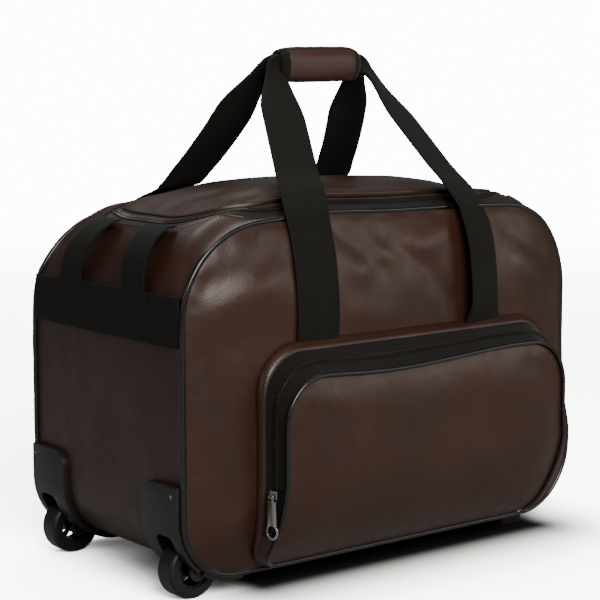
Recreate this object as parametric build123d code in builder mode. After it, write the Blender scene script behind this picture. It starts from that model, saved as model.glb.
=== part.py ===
"""Wheeled holdall: a soft bag with a zipped lid, a zipped front pocket, two carrying handles
joined by a wrapped grip, two corner wheels and a telescopic trolley handle under its floor.

Millimetres, +Z up, X along the bag with the wheels at -X, the pocket facing -Y.
The pieces are drawn about the bag's own centre line and save() moves them to the row frame."""
from build123d import *
import math
import os

os.makedirs("parts", exist_ok=True)

# ---------------------------------------------------------------- driving dimensions
LENGTH = 500.0  # bag body, end to end
HALF = LENGTH / 2
GUSSET_Y = 129.0  # half depth of the gusset between its two edge seams
FLOOR_GAP = 22.0  # underside of the bag above the floor
EDGE_TOP = 352.0  # top of the front and back panels
CROWN_TOP = 364.0  # top of the bag between the crown lines
CROWN_Y = 112.0  # the crown lines, where the sloping top edges meet the flat top
TOP_R = 88.0
BOTTOM_R = 58.0
SKIN = 3.0  # padded skin of the bag
SEAM_Z = 268.0  # seam between the lower and the top gusset

PIPING_W = 4.5
PIPING_PROUD = 2.5
PANEL_Y = GUSSET_Y + PIPING_W  # rim of the front and back panels
BULGE = 18.0  # how far a panel stands out in its middle
BULGE_RUN = 50.0  # width of the sloping border of a panel
CROWN_FACE_Y = PANEL_Y + BULGE

ZIP_X = 208.0  # the lid zip's centre line: its end runs,
ZIP_FRONT_Y = -113.0  # its front run,
ZIP_R = 75.0  # and its front corners
HINGE_Y = 62.0  # fold line at the back of the lid
TEETH_GAP = 0.6  # half the gap between the two rows of teeth
TEETH_EDGE = 3.4
TAPE_OUT = 13.0
TAPE_IN = 9.0
TAIL_Y = 42.0  # behind this both halves of the lid zip are sewn to the bag
LID_DOME = 12.0

POCKET_DEPTH = 38.0
POCKET_X = 12.0  # the pocket sits a little towards the feet
POCKET_HALF = 190.0
POCKET_TOP = 240.0
POCKET_LOW = 26.0
POCKET_IN = 8.0  # how far each side leans in over the depth
POCKET_DROP = 26.0  # how far the top leans down over the depth
POCKET_TOP_R = 45.0
POCKET_LOW_R = 22.0
POCKET_SKIN = 2.5
POCKET_ZIP = 0.52  # zip centre line, as a share of the pocket's depth
POCKET_TEETH_IN = 0.016
POCKET_TEETH_OUT = 0.09
POCKET_STRIP = 0.28  # leather strip behind the zip
POCKET_LIP = 0.88  # leather lip in front of the zip
POCKET_ZIP_END = 60.0  # height where the zip tapes are sewn off
FLAP_Z = 108.0  # fold line of the pocket's front
WEDGE_Z = 104.0  # below this the pocket's front slopes back to the bag's bottom seam
WEDGE_Y = 146.0  # depth that the pocket's front has left at its bottom edge
FLAP_GAP = 0.4
POCKET_PIPING = 3.0
FACE_Y = CROWN_FACE_Y + POCKET_DEPTH

STRAP_W = 50.0
STRAP_T = 2.4
STRAP_X = 107.0
HANDLE_Z = 344.0  # height of the line where a handle's straps fold
GRIP_X = 8.0
GRIP_Z = 498.0
GRIP_HALF = 52.0
GRIP_Y = 13.0  # half depth of the wrapped grip
GRIP_H = 34.0
FOLDED_W = 24.0  # strap folded in half inside the grip
FOLDED_T = 4.6

WHEEL_R = 27.5
WHEEL_W = 24.0
WHEEL_X = -228.0
WHEEL_Y = 105.0
HOUSING_T = 7.0
HOUSING_IN = 70.0  # inner edge of a wheel housing
HOUSING_TOP = 113.0
HOUSING_END = -180.0
WELL_W = 28.0
WELL_R = 36.0
WELL_WALL = 4.0
AXLE_R = 3.0
RUN_CLEARANCE = 0.05
BOSS_R = 9.0
HUB_WEB = 4.0  # thickness of the spoked disc inside a wheel
RIVET_Y = 122.0
RIVET_Z = 104.0
RIVET_R = 1.2
RIVET_CAP = 2.0
RIVET_HEAD = 1.0

FOOT = (206.0, 90.0)  # where the front and rear feet stand
SCREW_R = 2.0

TUBE_Y = 45.0
TUBE_Z = 34.0
OUTER_TUBE = (22.0, 15.0, 1.2)  # width, height, wall
MIDDLE_TUBE = (18.6, 11.6, 1.2)
INNER_TUBE = (15.4, 8.4, 1.0)
TUBE_START = -170.0
SLEEVE_X = 222.0
SLEEVE_END = 241.0
COLLAR_END = 246.5
BAR_X = 247.0
BAR_END = 267.0
BAR_HALF = 60.0
BUTTON_END = 268.5
BAR_Z = (TUBE_Z - 11, TUBE_Z + 11)

FRAME_SHIFT = (
    (HALF + HOUSING_T + RIVET_HEAD - BUTTON_END) / 2,
    (FACE_Y + POCKET_PIPING - CROWN_FACE_Y - STRAP_T) / 2,
    0.0,
)  # puts the row frame's origin at the middle of the whole footprint


def save(piece, name):
    """Labels a finished piece, moves it to the row frame and writes its STEP file."""
    placed = piece.part.moved(Location(FRAME_SHIFT))
    placed.label = name
    export_step(placed, f"parts/{name}.step")


# ---------------------------------------------------------------- shared shapes
def outline(y, inset=0.0, top=EDGE_TOP, low=FLOOR_GAP, low_r=BOTTOM_R):
    """The bag's front-view outline, on the plane at y."""
    bottom, height = low + inset, top - low - 2 * inset
    with BuildSketch(Plane.XZ.offset(-y)) as face:
        with Locations((0, bottom + height / 2)):
            Rectangle(LENGTH - 2 * inset, height)
        fillet(face.vertices().group_by(Axis.Y)[-1], TOP_R - inset)
        fillet(face.vertices().group_by(Axis.Y)[0], low_r - inset)
    return face.sketch


def envelope(inset, half_y=GUSSET_Y, **floor):
    """Four outlines through which the gusset's surface runs, set in by inset."""
    return [
        outline(-half_y, inset, EDGE_TOP, **floor),
        outline(-CROWN_Y, inset, CROWN_TOP, **floor),
        outline(CROWN_Y, inset, CROWN_TOP, **floor),
        outline(half_y, inset, EDGE_TOP, **floor),
    ]


def lid_plan(offset, y_from=-200.0, y_to=HINGE_Y):
    """The lid zip's centre line seen from above, moved outwards by offset and closed at the hinge."""
    front = ZIP_FRONT_Y - offset
    with BuildSketch(Plane.XY.offset(SEAM_Z + 20)) as face:
        with Locations((0, (front + HINGE_Y) / 2)):
            Rectangle(2 * (ZIP_X + offset), HINGE_Y - front)
        fillet(face.vertices().group_by(Axis.Y)[0], ZIP_R + offset)
        with Locations((0, (y_from + y_to) / 2)):
            Rectangle(LENGTH, y_to - y_from, mode=Mode.INTERSECT)
    return face.sketch


def top_strip(outside, inside, high, low, y_from=-200.0, y_to=HINGE_Y):
    """A strip of the bag's top between two offsets of the zip line and two depths under the surface."""
    with BuildPart() as strip:
        loft(envelope(high), ruled=True)
        loft(envelope(low), ruled=True, mode=Mode.SUBTRACT)
        extrude(lid_plan(outside, y_from, y_to), amount=100, mode=Mode.INTERSECT)
        if inside is not None:
            extrude(lid_plan(inside), amount=100, mode=Mode.SUBTRACT)
    return strip


def pocket_outline(share, inset=0.0):
    """The pocket's front-view outline at a share of its depth."""
    lean = max(share, 0.0)
    half = POCKET_HALF - POCKET_IN * lean - inset
    high = POCKET_TOP - POCKET_DROP * lean - inset
    low = POCKET_LOW + inset
    with BuildSketch(Plane.XZ.offset(CROWN_FACE_Y + POCKET_DEPTH * share)) as face:
        with Locations((POCKET_X, (low + high) / 2)):
            Rectangle(2 * half, high - low)
        fillet(face.vertices().group_by(Axis.Y)[-1], POCKET_TOP_R - inset)
        fillet(face.vertices().group_by(Axis.Y)[0], POCKET_LOW_R - inset)
    return face.sketch


def pocket_band(shares, sink, thickness):
    """Lofts a band of the pocket's side wall, between its first and last share of the depth."""
    loft([pocket_outline(s, sink) for s in shares], ruled=True)
    inner = [pocket_outline(s, sink + thickness) for s in shares]
    loft(inner, ruled=True, mode=Mode.SUBTRACT)


def keep_between(low, high):
    """Keeps what lies between two heights in the piece being built."""
    with BuildSketch(Plane.XY.offset(low)) as slab:
        Rectangle(900, 900)
    extrude(slab.sketch, amount=high - low, mode=Mode.INTERSECT)


def cut_box(x, y, z):
    """Cuts the block between the two limits given for each axis."""
    with Locations(((x[0] + x[1]) / 2, (y[0] + y[1]) / 2, (z[0] + z[1]) / 2)):
        Box(x[1] - x[0], y[1] - y[0], z[1] - z[0], mode=Mode.SUBTRACT)


def add_box(x, y, z):
    """Adds the block between the two limits given for each axis."""
    with Locations(((x[0] + x[1]) / 2, (y[0] + y[1]) / 2, (z[0] + z[1]) / 2)):
        Box(x[1] - x[0], y[1] - y[0], z[1] - z[0])


def rod(x, y, z, radius, mode=Mode.ADD, along=Axis.Y):
    """A round bar along X or Y; the coordinate along its axis is given as two limits."""
    if along == Axis.Y:
        plane = Plane.XZ.offset(-y[0])
        centre, length = (x, z), y[0] - y[1]
    else:
        plane = Plane.YZ.offset(x[0])
        centre, length = (y, z), x[1] - x[0]
    with BuildSketch(plane) as disc:
        with Locations(centre):
            Circle(radius)
    extrude(disc.sketch, amount=length, mode=mode)


# ---------------------------------------------------------------- gussets, panels, piping
WELL_Y = (WHEEL_Y - WELL_W / 2, WHEEL_Y + WELL_W / 2)
WELL_OUTER_Y = (WELL_Y[0] - WELL_WALL, WELL_Y[1] + WELL_WALL)
WELL_X = (-300.0, WHEEL_X + WELL_R + WELL_WALL)
WELL_Z = (0.0, WHEEL_R + WELL_R + WELL_WALL)
SLEEVE_Y = (TUBE_Y - 14, TUBE_Y + 14)
SLEEVE_Z = (TUBE_Z - 10, TUBE_Z + 10)


def both_sides(limits, side):
    """The two limits of a feature that sits at +Y, or its mirror image at -Y."""
    return limits if side > 0 else (-limits[1], -limits[0])


with BuildPart() as lower_gusset:
    loft(envelope(0), ruled=True)
    loft(envelope(SKIN), ruled=True, mode=Mode.SUBTRACT)
    keep_between(0, SEAM_Z)
    for side in (-1, 1):
        cut_box(WELL_X, both_sides(WELL_OUTER_Y, side), WELL_Z)
        cut_box((200, 300), both_sides(SLEEVE_Y, side), SLEEVE_Z)
        rod((-260, -240), side * RIVET_Y, RIVET_Z, RIVET_R, Mode.SUBTRACT, Axis.X)
        with Locations((FOOT[0], side * FOOT[1], FLOOR_GAP)):
            Cylinder(SCREW_R, 20, mode=Mode.SUBTRACT)
save(lower_gusset, "lower_gusset")

with BuildPart() as top_gusset:
    loft(envelope(0), ruled=True)
    loft(envelope(SKIN), ruled=True, mode=Mode.SUBTRACT)
    keep_between(SEAM_Z, CROWN_TOP + 10)
    extrude(lid_plan(TAPE_OUT), amount=100, mode=Mode.SUBTRACT)
save(top_gusset, "top_gusset")


def panel_body(side, shell=True):
    """Front (-1) or back (+1) panel: a shallow dish with a sloping border."""
    with BuildPart() as dish:
        loft([outline(side * PANEL_Y), outline(side * CROWN_FACE_Y, BULGE_RUN)], ruled=True)
        if shell:
            rim = outline(side * PANEL_Y, SKIN + 1)
            crown = outline(side * (CROWN_FACE_Y - SKIN), BULGE_RUN + 1)
            loft([rim, crown], ruled=True, mode=Mode.SUBTRACT)
    return dish


front_solid = panel_body(-1, shell=False)
save(panel_body(-1), "front_panel")
save(panel_body(1), "back_panel")

for side, name in ((-1, "front_piping"), (1, "back_piping")):
    with BuildPart() as piping:
        extrude(outline(side * GUSSET_Y, -PIPING_PROUD), amount=-side * PIPING_W)
        extrude(outline(side * GUSSET_Y, SKIN), amount=-side * PIPING_W, mode=Mode.SUBTRACT)
        rims = [face.outer_wire() for face in piping.faces().filter_by(Axis.Y)]
        chamfer([edge for rim in rims for edge in rim.edges()], 1.2)
    save(piping, name)

# ---------------------------------------------------------------- lid and its zip
with BuildPart() as lid_panel:
    loft(envelope(0), ruled=True)
    loft(envelope(SKIN), ruled=True, mode=Mode.SUBTRACT)
    extrude(lid_plan(-TAPE_IN, y_to=HINGE_Y - 0.3), amount=100, mode=Mode.INTERSECT)
    for drop, mode in ((0, Mode.ADD), (SKIN, Mode.SUBTRACT)):
        dome = []
        for height, run in ((CROWN_TOP - SKIN, 0), (CROWN_TOP + LID_DOME - drop, 40)):
            with BuildSketch(Plane.XY.offset(height)) as ring:
                with Locations((0, -21.5)):
                    RectangleRounded(310 - 2 * (run + drop), 147 - 2 * (run + drop), 48 - run)
            dome.append(ring.sketch)
        loft(dome, ruled=True, mode=mode)
save(lid_panel, "lid_panel")

TAPE_DEPTHS = (0.8, 2.2)
TEETH_DEPTHS = (-0.6, 2.4)
save(top_strip(TAPE_OUT, TEETH_EDGE, *TAPE_DEPTHS), "main_zip_tape_outer")
save(top_strip(TEETH_EDGE, TEETH_GAP, *TEETH_DEPTHS), "main_zip_teeth_outer")
save(top_strip(-TEETH_EDGE, -TAPE_IN, *TAPE_DEPTHS, y_to=TAIL_Y), "lid_zip_tape")
save(top_strip(-TEETH_GAP, -TEETH_EDGE, *TEETH_DEPTHS, y_to=TAIL_Y), "lid_zip_teeth")
save(top_strip(-TEETH_EDGE, -TAPE_IN + 0.3, *TAPE_DEPTHS, y_from=TAIL_Y + 0.5),
     "main_zip_tail_tapes")
save(top_strip(-TEETH_GAP, -TEETH_EDGE, *TEETH_DEPTHS, y_from=TAIL_Y + 0.5),
     "main_zip_tail_teeth")

# ---------------------------------------------------------------- pocket
POCKET_BACK = -BULGE / POCKET_DEPTH  # share of the depth at the front panel's rim
WEDGE = Plane(
    origin=(0, -FACE_Y, WEDGE_Z),
    x_dir=(1, 0, 0),
    z_dir=(0, -(WEDGE_Z - POCKET_LOW), -(FACE_Y - WEDGE_Y)),
)  # the slope of the pocket's lower front, facing forwards and down


def wedge_slab(low, high, mode):
    """Everything between two distances in front of the pocket's slope."""
    with BuildSketch(WEDGE.offset(low)) as slope:
        Rectangle(900, 900)
    extrude(slope.sketch, amount=high - low, mode=mode)


with BuildPart() as pocket_gusset:
    pocket_band((POCKET_BACK, 0, POCKET_STRIP), 0, POCKET_SKIN)
    add(front_solid.part, mode=Mode.SUBTRACT)
with BuildPart() as pocket_sill:
    pocket_band((POCKET_STRIP, POCKET_LIP), 0, POCKET_SKIN)
    keep_between(0, POCKET_ZIP_END)
with BuildPart() as pocket_walls:
    add(pocket_gusset.part)
    add(pocket_sill.part)
    wedge_slab(0, 200, Mode.SUBTRACT)
save(pocket_walls, "pocket_gusset")

OUTER_TEETH = (POCKET_ZIP - POCKET_TEETH_OUT, POCKET_ZIP - POCKET_TEETH_IN)
INNER_TEETH = (POCKET_ZIP + POCKET_TEETH_IN, POCKET_ZIP + POCKET_TEETH_OUT)
POCKET_TAPE = (0.6, 1.4)  # sink and thickness
POCKET_TEETH = (-0.6, 2.8)
HIGH = POCKET_TOP + 20


def pocket_strip(shares, depths, low, high):
    """A strip of zip on the pocket's side wall between two heights."""
    with BuildPart() as strip:
        pocket_band(shares, *depths)
        keep_between(low, high)
        if low < WEDGE_Z:
            wedge_slab(0, 200, Mode.SUBTRACT)
    return strip


for name, shares, depths in (
    ("pocket_zip_tape_outer", (POCKET_STRIP, OUTER_TEETH[0]), POCKET_TAPE),
    ("pocket_zip_teeth_outer", OUTER_TEETH, POCKET_TEETH),
):
    save(pocket_strip(shares, depths, POCKET_ZIP_END, HIGH), name)
for ends, low, high in (("tail", POCKET_ZIP_END, FLAP_Z), ("flap", FLAP_Z + FLAP_GAP, HIGH)):
    tape = pocket_strip((INNER_TEETH[1], POCKET_LIP), POCKET_TAPE, low, high)
    teeth = pocket_strip(INNER_TEETH, POCKET_TEETH, low, high)
    save(tape, f"pocket_{ends}_zip_tape")
    save(teeth, f"pocket_{ends}_zip_teeth")

with BuildPart() as slope_sheet:
    loft([pocket_outline(s, POCKET_SKIN) for s in (POCKET_BACK, 0, 1)], ruled=True)
    wedge_slab(-POCKET_SKIN, 0, Mode.INTERSECT)
    keep_between(0, WEDGE_Z + 1)
    add(front_solid.part, mode=Mode.SUBTRACT)
with BuildPart() as slope_piping:
    loft([pocket_outline(s, -1) for s in (POCKET_BACK, 0, 1.2)], ruled=True)
    loft([pocket_outline(s, 3) for s in (POCKET_BACK, 0, 1.2)], ruled=True, mode=Mode.SUBTRACT)
    wedge_slab(0, POCKET_PIPING, Mode.INTERSECT)
    keep_between(0, WEDGE_Z + 1)
    add(front_solid.part, mode=Mode.SUBTRACT)

for name, low, high in (("pocket_front_lower", 0, FLAP_Z),
                        ("pocket_front_flap", FLAP_Z + FLAP_GAP, HIGH)):
    with BuildPart() as front:
        pocket_band((POCKET_LIP, 1), 0, POCKET_SKIN)
        extrude(pocket_outline(1), amount=-POCKET_SKIN)
        keep_between(low, high)
        if low == 0:
            wedge_slab(0, 200, Mode.SUBTRACT)
            add(slope_sheet.part)
    save(front, name)
for name, low, high in (("pocket_piping_lower", 0, FLAP_Z),
                        ("pocket_piping_flap", FLAP_Z + FLAP_GAP, HIGH)):
    with BuildPart() as bead:
        extrude(pocket_outline(1, -1), amount=POCKET_PIPING)
        extrude(pocket_outline(1, 3), amount=POCKET_PIPING, mode=Mode.SUBTRACT)
        keep_between(low, high)
        if low == 0:
            wedge_slab(0, 200, Mode.SUBTRACT)
            add(slope_piping.part)
    save(bead, name)

# ---------------------------------------------------------------- zip sliders and pullers
CHANNEL = (-2.8, 0.9)  # inside faces of a slider's two plates, from the skin's surface
SLIDER_LEN = 11.0
BAR_OUT = 4.8
PULL_BAR_R = 0.9
PULL_LEN = 24.0
RING_R = 6.5


def zip_slider(place, web_tilt):
    """Slider: two plates joined by a web between the rows of teeth, and a bar for the puller."""
    middle = (CHANNEL[0] + CHANNEL[1]) / 2
    web_height = (CHANNEL[1] - CHANNEL[0] + 0.6) / math.cos(web_tilt)
    with BuildPart(place) as slider:
        with Locations((0, 0, CHANNEL[1] + 0.8)):
            Box(9, SLIDER_LEN, 1.6)
        with Locations((0, 0, CHANNEL[0] - 0.6)):
            Box(8, SLIDER_LEN, 1.2)
        with Locations((middle * math.tan(web_tilt), 0, middle)):
            Box(0.6, SLIDER_LEN, web_height, rotation=(0, math.degrees(web_tilt), 0))
        with Locations((-2.9, 0, 4.2), (2.9, 0, 4.2)):
            Box(1.2, 3, 3.6)
        with Locations((0, 0, BAR_OUT)):
            Cylinder(PULL_BAR_R, 6, rotation=(0, 90, 0))
    return slider


def zip_puller(place):
    """Puller lying along -y of its place: an eye round the slider's bar, a plate and an open ring."""
    with BuildPart(place) as puller:
        with Locations((0, 0, BAR_OUT)):
            Cylinder(1.9, 3.6, rotation=(0, 90, 0))
        with Locations((0, -2.6, BAR_OUT)):
            Box(3.6, 3.2, 1.4)
        with Locations((0, -3 - PULL_LEN / 2, BAR_OUT)):
            Box(9, PULL_LEN, 1.4)
        with Locations((0, -3 - PULL_LEN, BAR_OUT)):
            Cylinder(RING_R, 1.4)
            Cylinder(RING_R - 2, 1.4, mode=Mode.SUBTRACT)
        with Locations((0, 0, BAR_OUT)):
            Cylinder(PULL_BAR_R + 0.1, 3.6, rotation=(0, 90, 0), mode=Mode.SUBTRACT)
    return puller


lean = math.asin((ZIP_X - (HALF - TOP_R)) / TOP_R)  # tilt of the bag's shoulder at the zip
main_slider_place = Plane(
    origin=(ZIP_X, (TAIL_Y + HINGE_Y) / 2, CROWN_TOP - TOP_R + TOP_R * math.cos(lean)),
    x_dir=(-math.cos(lean), 0, math.sin(lean)),
    z_dir=(math.sin(lean), 0, math.cos(lean)),
)
save(zip_slider(main_slider_place, lean), "main_zip_slider")
save(zip_puller(main_slider_place), "main_zip_puller")

side_lean = math.atan2(POCKET_IN, POCKET_DEPTH)
POCKET_SLIDER_Z = FLAP_Z - SLIDER_LEN / 2 - 1
pocket_slider_place = Plane(
    origin=(
        POCKET_X - (POCKET_HALF - POCKET_IN * POCKET_ZIP),
        -(CROWN_FACE_Y + POCKET_DEPTH * POCKET_ZIP),
        POCKET_SLIDER_Z,
    ),
    x_dir=(math.sin(side_lean), -math.cos(side_lean), 0),
    z_dir=(-math.cos(side_lean), -math.sin(side_lean), 0),
)
save(zip_slider(pocket_slider_place, -side_lean), "pocket_zip_slider")
save(zip_puller(pocket_slider_place), "pocket_zip_puller")

# ---------------------------------------------------------------- webbing
PANEL_SLOPE = BULGE / BULGE_RUN


def panel_face_y(z):
    """Distance of the front or back panel's face from the mid plane at a height near its top."""
    return PANEL_Y + PANEL_SLOPE * min(EDGE_TOP - z, BULGE_RUN)


ANCHOR_TOP = HANDLE_Z - 1
for side, name, low in ((-1, "front_strap_anchors", POCKET_TOP + 0.5),
                        (1, "rear_strap_anchors", 60.0)):
    with BuildPart() as anchors:
        for x in (-STRAP_X, STRAP_X):
            with BuildSketch(Plane.YZ.offset(x - STRAP_W / 2)) as profile:
                with BuildLine():
                    knee = EDGE_TOP - BULGE_RUN
                    Polyline(
                        (side * CROWN_FACE_Y, low),
                        (side * CROWN_FACE_Y, knee),
                        (side * panel_face_y(ANCHOR_TOP), ANCHOR_TOP),
                        (side * (panel_face_y(ANCHOR_TOP) + STRAP_T), ANCHOR_TOP),
                        (side * (CROWN_FACE_Y + STRAP_T), knee),
                        (side * (CROWN_FACE_Y + STRAP_T), low),
                        close=True,
                    )
                make_face()
            extrude(profile.sketch, amount=STRAP_W)
    save(anchors, name)

with BuildPart() as end_band:
    loft(envelope(-1.8), ruled=True)
    loft(envelope(0), ruled=True, mode=Mode.SUBTRACT)
    keep_between(243, 291)
    cut_box((0, 300), (-200, 200), (0, 400))
save(end_band, "end_band")

LOOP_X = -HALF - 2.8
with BuildPart() as end_loops:
    for y in (-61, 55):
        with BuildLine(Plane.XZ.offset(-y)) as path:
            FilletPolyline((LOOP_X, 262), (LOOP_X, 331), (-222, 341), radius=26)
        with BuildSketch(Plane(origin=(LOOP_X, y, 262), z_dir=(0, 0, 1))):
            Rectangle(2, 38)
        sweep(path=path.line)
    loft(envelope(-1.8), ruled=True, mode=Mode.SUBTRACT)
save(end_loops, "end_loops")

PIVOT_Y = panel_face_y(ANCHOR_TOP) + STRAP_T + 0.3


def handle_leg(side, end):
    """One free strap of a handle, from its fold line up to the grip's end; end is -1 or +1 in X."""
    root_y = side * (panel_face_y(ANCHOR_TOP) + STRAP_T / 2)
    folded_y = side * (FOLDED_T / 2 + 0.4)
    bends = ((119, 373), (92, 402), (41, 457)) if side < 0 else ((101, 374), (79, 402), (35, 457))

    def across(z):
        share = (z - 355) / (GRIP_Z - 355)
        return end * (STRAP_X + (GRIP_HALF + 8 - STRAP_X) * share) + GRIP_X * share

    (low_y, low_z), (mid_y, mid_z), (high_y, high_z) = bends
    stations = (
        ((end * STRAP_X, root_y, HANDLE_Z + 1), (1, 0, 0), (0, 0, 1), STRAP_W, STRAP_T),
        ((end * STRAP_X, side * 137.6, 355), (1, 0, 0), (0, -side * 0.5, 1), STRAP_W, STRAP_T),
        ((across(low_z), side * low_y, low_z), (1, 0, end * 0.1), (-end * 0.1, -side, 0.9), STRAP_W, STRAP_T),
        ((across(mid_z), side * mid_y, mid_z), (1, 0, end * 0.25), (-end * 0.2, -side * 0.7, 0.8), 49, 2.6),
        ((across(high_z), side * high_y, high_z), (1, 0, end * 0.6), (-end * 0.36, -side * 0.6, 0.6), 40, 3.2),
        ((GRIP_X + end * (GRIP_HALF + 8), folded_y, GRIP_Z), (0, 0, end), (-end, 0, 0), FOLDED_W, FOLDED_T),
    )
    sections = []
    for centre, width_dir, along, width, thick in stations:
        with BuildSketch(Plane(origin=centre, x_dir=width_dir, z_dir=along)) as section:
            Rectangle(width, thick)
        sections.append(section.sketch)
    loft(sections, ruled=True)


for side, name in ((-1, "front_handle_strap"), (1, "rear_handle_strap")):
    with BuildPart() as handle:
        for end in (-1, 1):
            handle_leg(side, end)
        bar_y = both_sides((0.4, 0.4 + FOLDED_T), side)
        bar_z = (GRIP_Z - FOLDED_W / 2, GRIP_Z + FOLDED_W / 2)
        add_box((GRIP_X - GRIP_HALF - 8, GRIP_X + GRIP_HALF + 8), bar_y, bar_z)
    save(handle, name)

WRAP_WALL = 4.0
FLAP_FACE_Y = 8.5
with BuildPart() as grip_wrap:
    with BuildSketch(Plane.YZ.offset(GRIP_X - GRIP_HALF)) as wrap:
        with Locations((0, GRIP_Z)):
            RectangleRounded(2 * GRIP_Y, GRIP_H, 9)
            Rectangle(12, FOLDED_W + 2, mode=Mode.SUBTRACT)
        with Locations((FLAP_FACE_Y + 10, GRIP_Z)):
            Rectangle(20, 60, mode=Mode.SUBTRACT)
        with Locations((5, GRIP_Z)):
            Rectangle(10, FOLDED_W + 2, mode=Mode.SUBTRACT)
    extrude(wrap.sketch, amount=2 * GRIP_HALF)
save(grip_wrap, "grip_wrap")

with BuildPart() as grip_flap:
    with BuildSketch(Plane.YZ.offset(GRIP_X - GRIP_HALF)) as cover:
        with Locations((0, GRIP_Z)):
            RectangleRounded(2 * GRIP_Y, GRIP_H, 9)
        with Locations((FLAP_FACE_Y + 0.4 - 20, GRIP_Z)):
            Rectangle(40, 60, mode=Mode.SUBTRACT)
    extrude(cover.sketch, amount=2 * GRIP_HALF)
save(grip_flap, "grip_flap")

# ---------------------------------------------------------------- wheels and housings
for side, name in ((-1, "front"), (1, "rear")):
    clad_y = both_sides((HOUSING_IN, GUSSET_Y), side)
    well_y = both_sides(WELL_Y, side)
    outer_y = both_sides(WELL_OUTER_Y, side)
    with BuildPart() as well:
        add_box((WHEEL_X - 30, WELL_X[1]), (outer_y[0], outer_y[1]), (20, WELL_Z[1]))
        extrude(outline(200), amount=400, mode=Mode.INTERSECT)
    with BuildPart() as housing:
        extrude(outline(clad_y[1], -HOUSING_T), amount=clad_y[1] - clad_y[0])
        extrude(outline(clad_y[1]), amount=clad_y[1] - clad_y[0], mode=Mode.SUBTRACT)
        with BuildSketch(Plane.YZ.offset(-HALF - 20)) as face:
            with Locations((sum(clad_y) / 2, HOUSING_TOP / 2)):
                Rectangle(clad_y[1] - clad_y[0], HOUSING_TOP)
            top = face.vertices().group_by(Axis.Y)[-1].sort_by(Axis.X)
            fillet(top[0 if side > 0 else -1], 16)
        extrude(face.sketch, amount=HALF + 20 + HOUSING_END, mode=Mode.INTERSECT)
        add(well.part)
        for boss in ((outer_y[0], well_y[0]), (well_y[1], outer_y[1])):
            rod(WHEEL_X, boss, WHEEL_R, BOSS_R)
        rod(WHEEL_X, well_y, WHEEL_R, WELL_R, Mode.SUBTRACT)
        cut_box((WHEEL_X, WHEEL_X + WELL_R), well_y, (-10, WHEEL_R))
        with BuildSketch(Plane.YZ.offset(WHEEL_X)) as arch:
            with Locations((side * WHEEL_Y, (WHEEL_R + WELL_R) / 2 - 10)):
                Rectangle(WELL_W, WHEEL_R + WELL_R + 20)
            fillet(arch.vertices().group_by(Axis.Y)[-1], 8)
        extrude(arch.sketch, amount=-60, mode=Mode.SUBTRACT)
        rod(WHEEL_X, (side * WHEEL_Y - 30, side * WHEEL_Y + 30), WHEEL_R, AXLE_R, Mode.SUBTRACT)
        rod((-260, -240), side * RIVET_Y, RIVET_Z, RIVET_R, Mode.SUBTRACT, Axis.X)
    save(housing, f"wheel_housing_{name}")

    with BuildPart() as axle:
        rod(WHEEL_X, (side * WHEEL_Y - 19, side * WHEEL_Y + 19), WHEEL_R, AXLE_R)
    save(axle, f"wheel_axle_{name}")

    wheel_plane = Plane(origin=(WHEEL_X, side * WHEEL_Y, WHEEL_R), z_dir=(0, 1, 0))
    hub_r, core_r, bush_r = 17.5, 7.0, 4.6
    with BuildPart(wheel_plane) as tyre:
        Cylinder(WHEEL_R, WHEEL_W)
        fillet(tyre.edges().filter_by(GeomType.CIRCLE), 4)
        Cylinder(hub_r, WHEEL_W, mode=Mode.SUBTRACT)
    save(tyre, f"wheel_tyre_{name}")
    with BuildPart(wheel_plane) as hub:
        Cylinder(hub_r, WHEEL_W - 4)
        Cylinder(bush_r, WHEEL_W, mode=Mode.SUBTRACT)
        for face in (-1, 1):
            with BuildSketch(wheel_plane.offset(face * HUB_WEB / 2)) as dish:
                Circle(hub_r - 2.2)
                Circle(core_r, mode=Mode.SUBTRACT)
            extrude(dish.sketch, amount=face * WHEEL_W, mode=Mode.SUBTRACT)
        with BuildSketch(wheel_plane.offset(-HUB_WEB)) as windows:
            Circle(hub_r - 2.2)
            Circle(core_r + 0.8, mode=Mode.SUBTRACT)
            with PolarLocations(11, 5):
                Rectangle(14, 3.6, mode=Mode.SUBTRACT)
        extrude(windows.sketch, amount=2 * HUB_WEB, mode=Mode.SUBTRACT)
    save(hub, f"wheel_hub_{name}")
    with BuildPart(wheel_plane) as bush:
        Cylinder(bush_r, WHEEL_W - 3)
        Cylinder(AXLE_R + RUN_CLEARANCE, WHEEL_W, mode=Mode.SUBTRACT)
    save(bush, f"wheel_bush_{name}")

with BuildPart() as housing_rivets:
    for side in (-1, 1):
        shank = (-HALF - HOUSING_T, -HALF + SKIN)
        rod(shank, side * RIVET_Y, RIVET_Z, RIVET_R, along=Axis.X)
        rod((shank[0] - RIVET_HEAD, shank[0]), side * RIVET_Y, RIVET_Z, RIVET_CAP, along=Axis.X)
        rod((shank[1], shank[1] + 0.4), side * RIVET_Y, RIVET_Z, RIVET_CAP, along=Axis.X)
save(housing_rivets, "housing_rivets")

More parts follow.
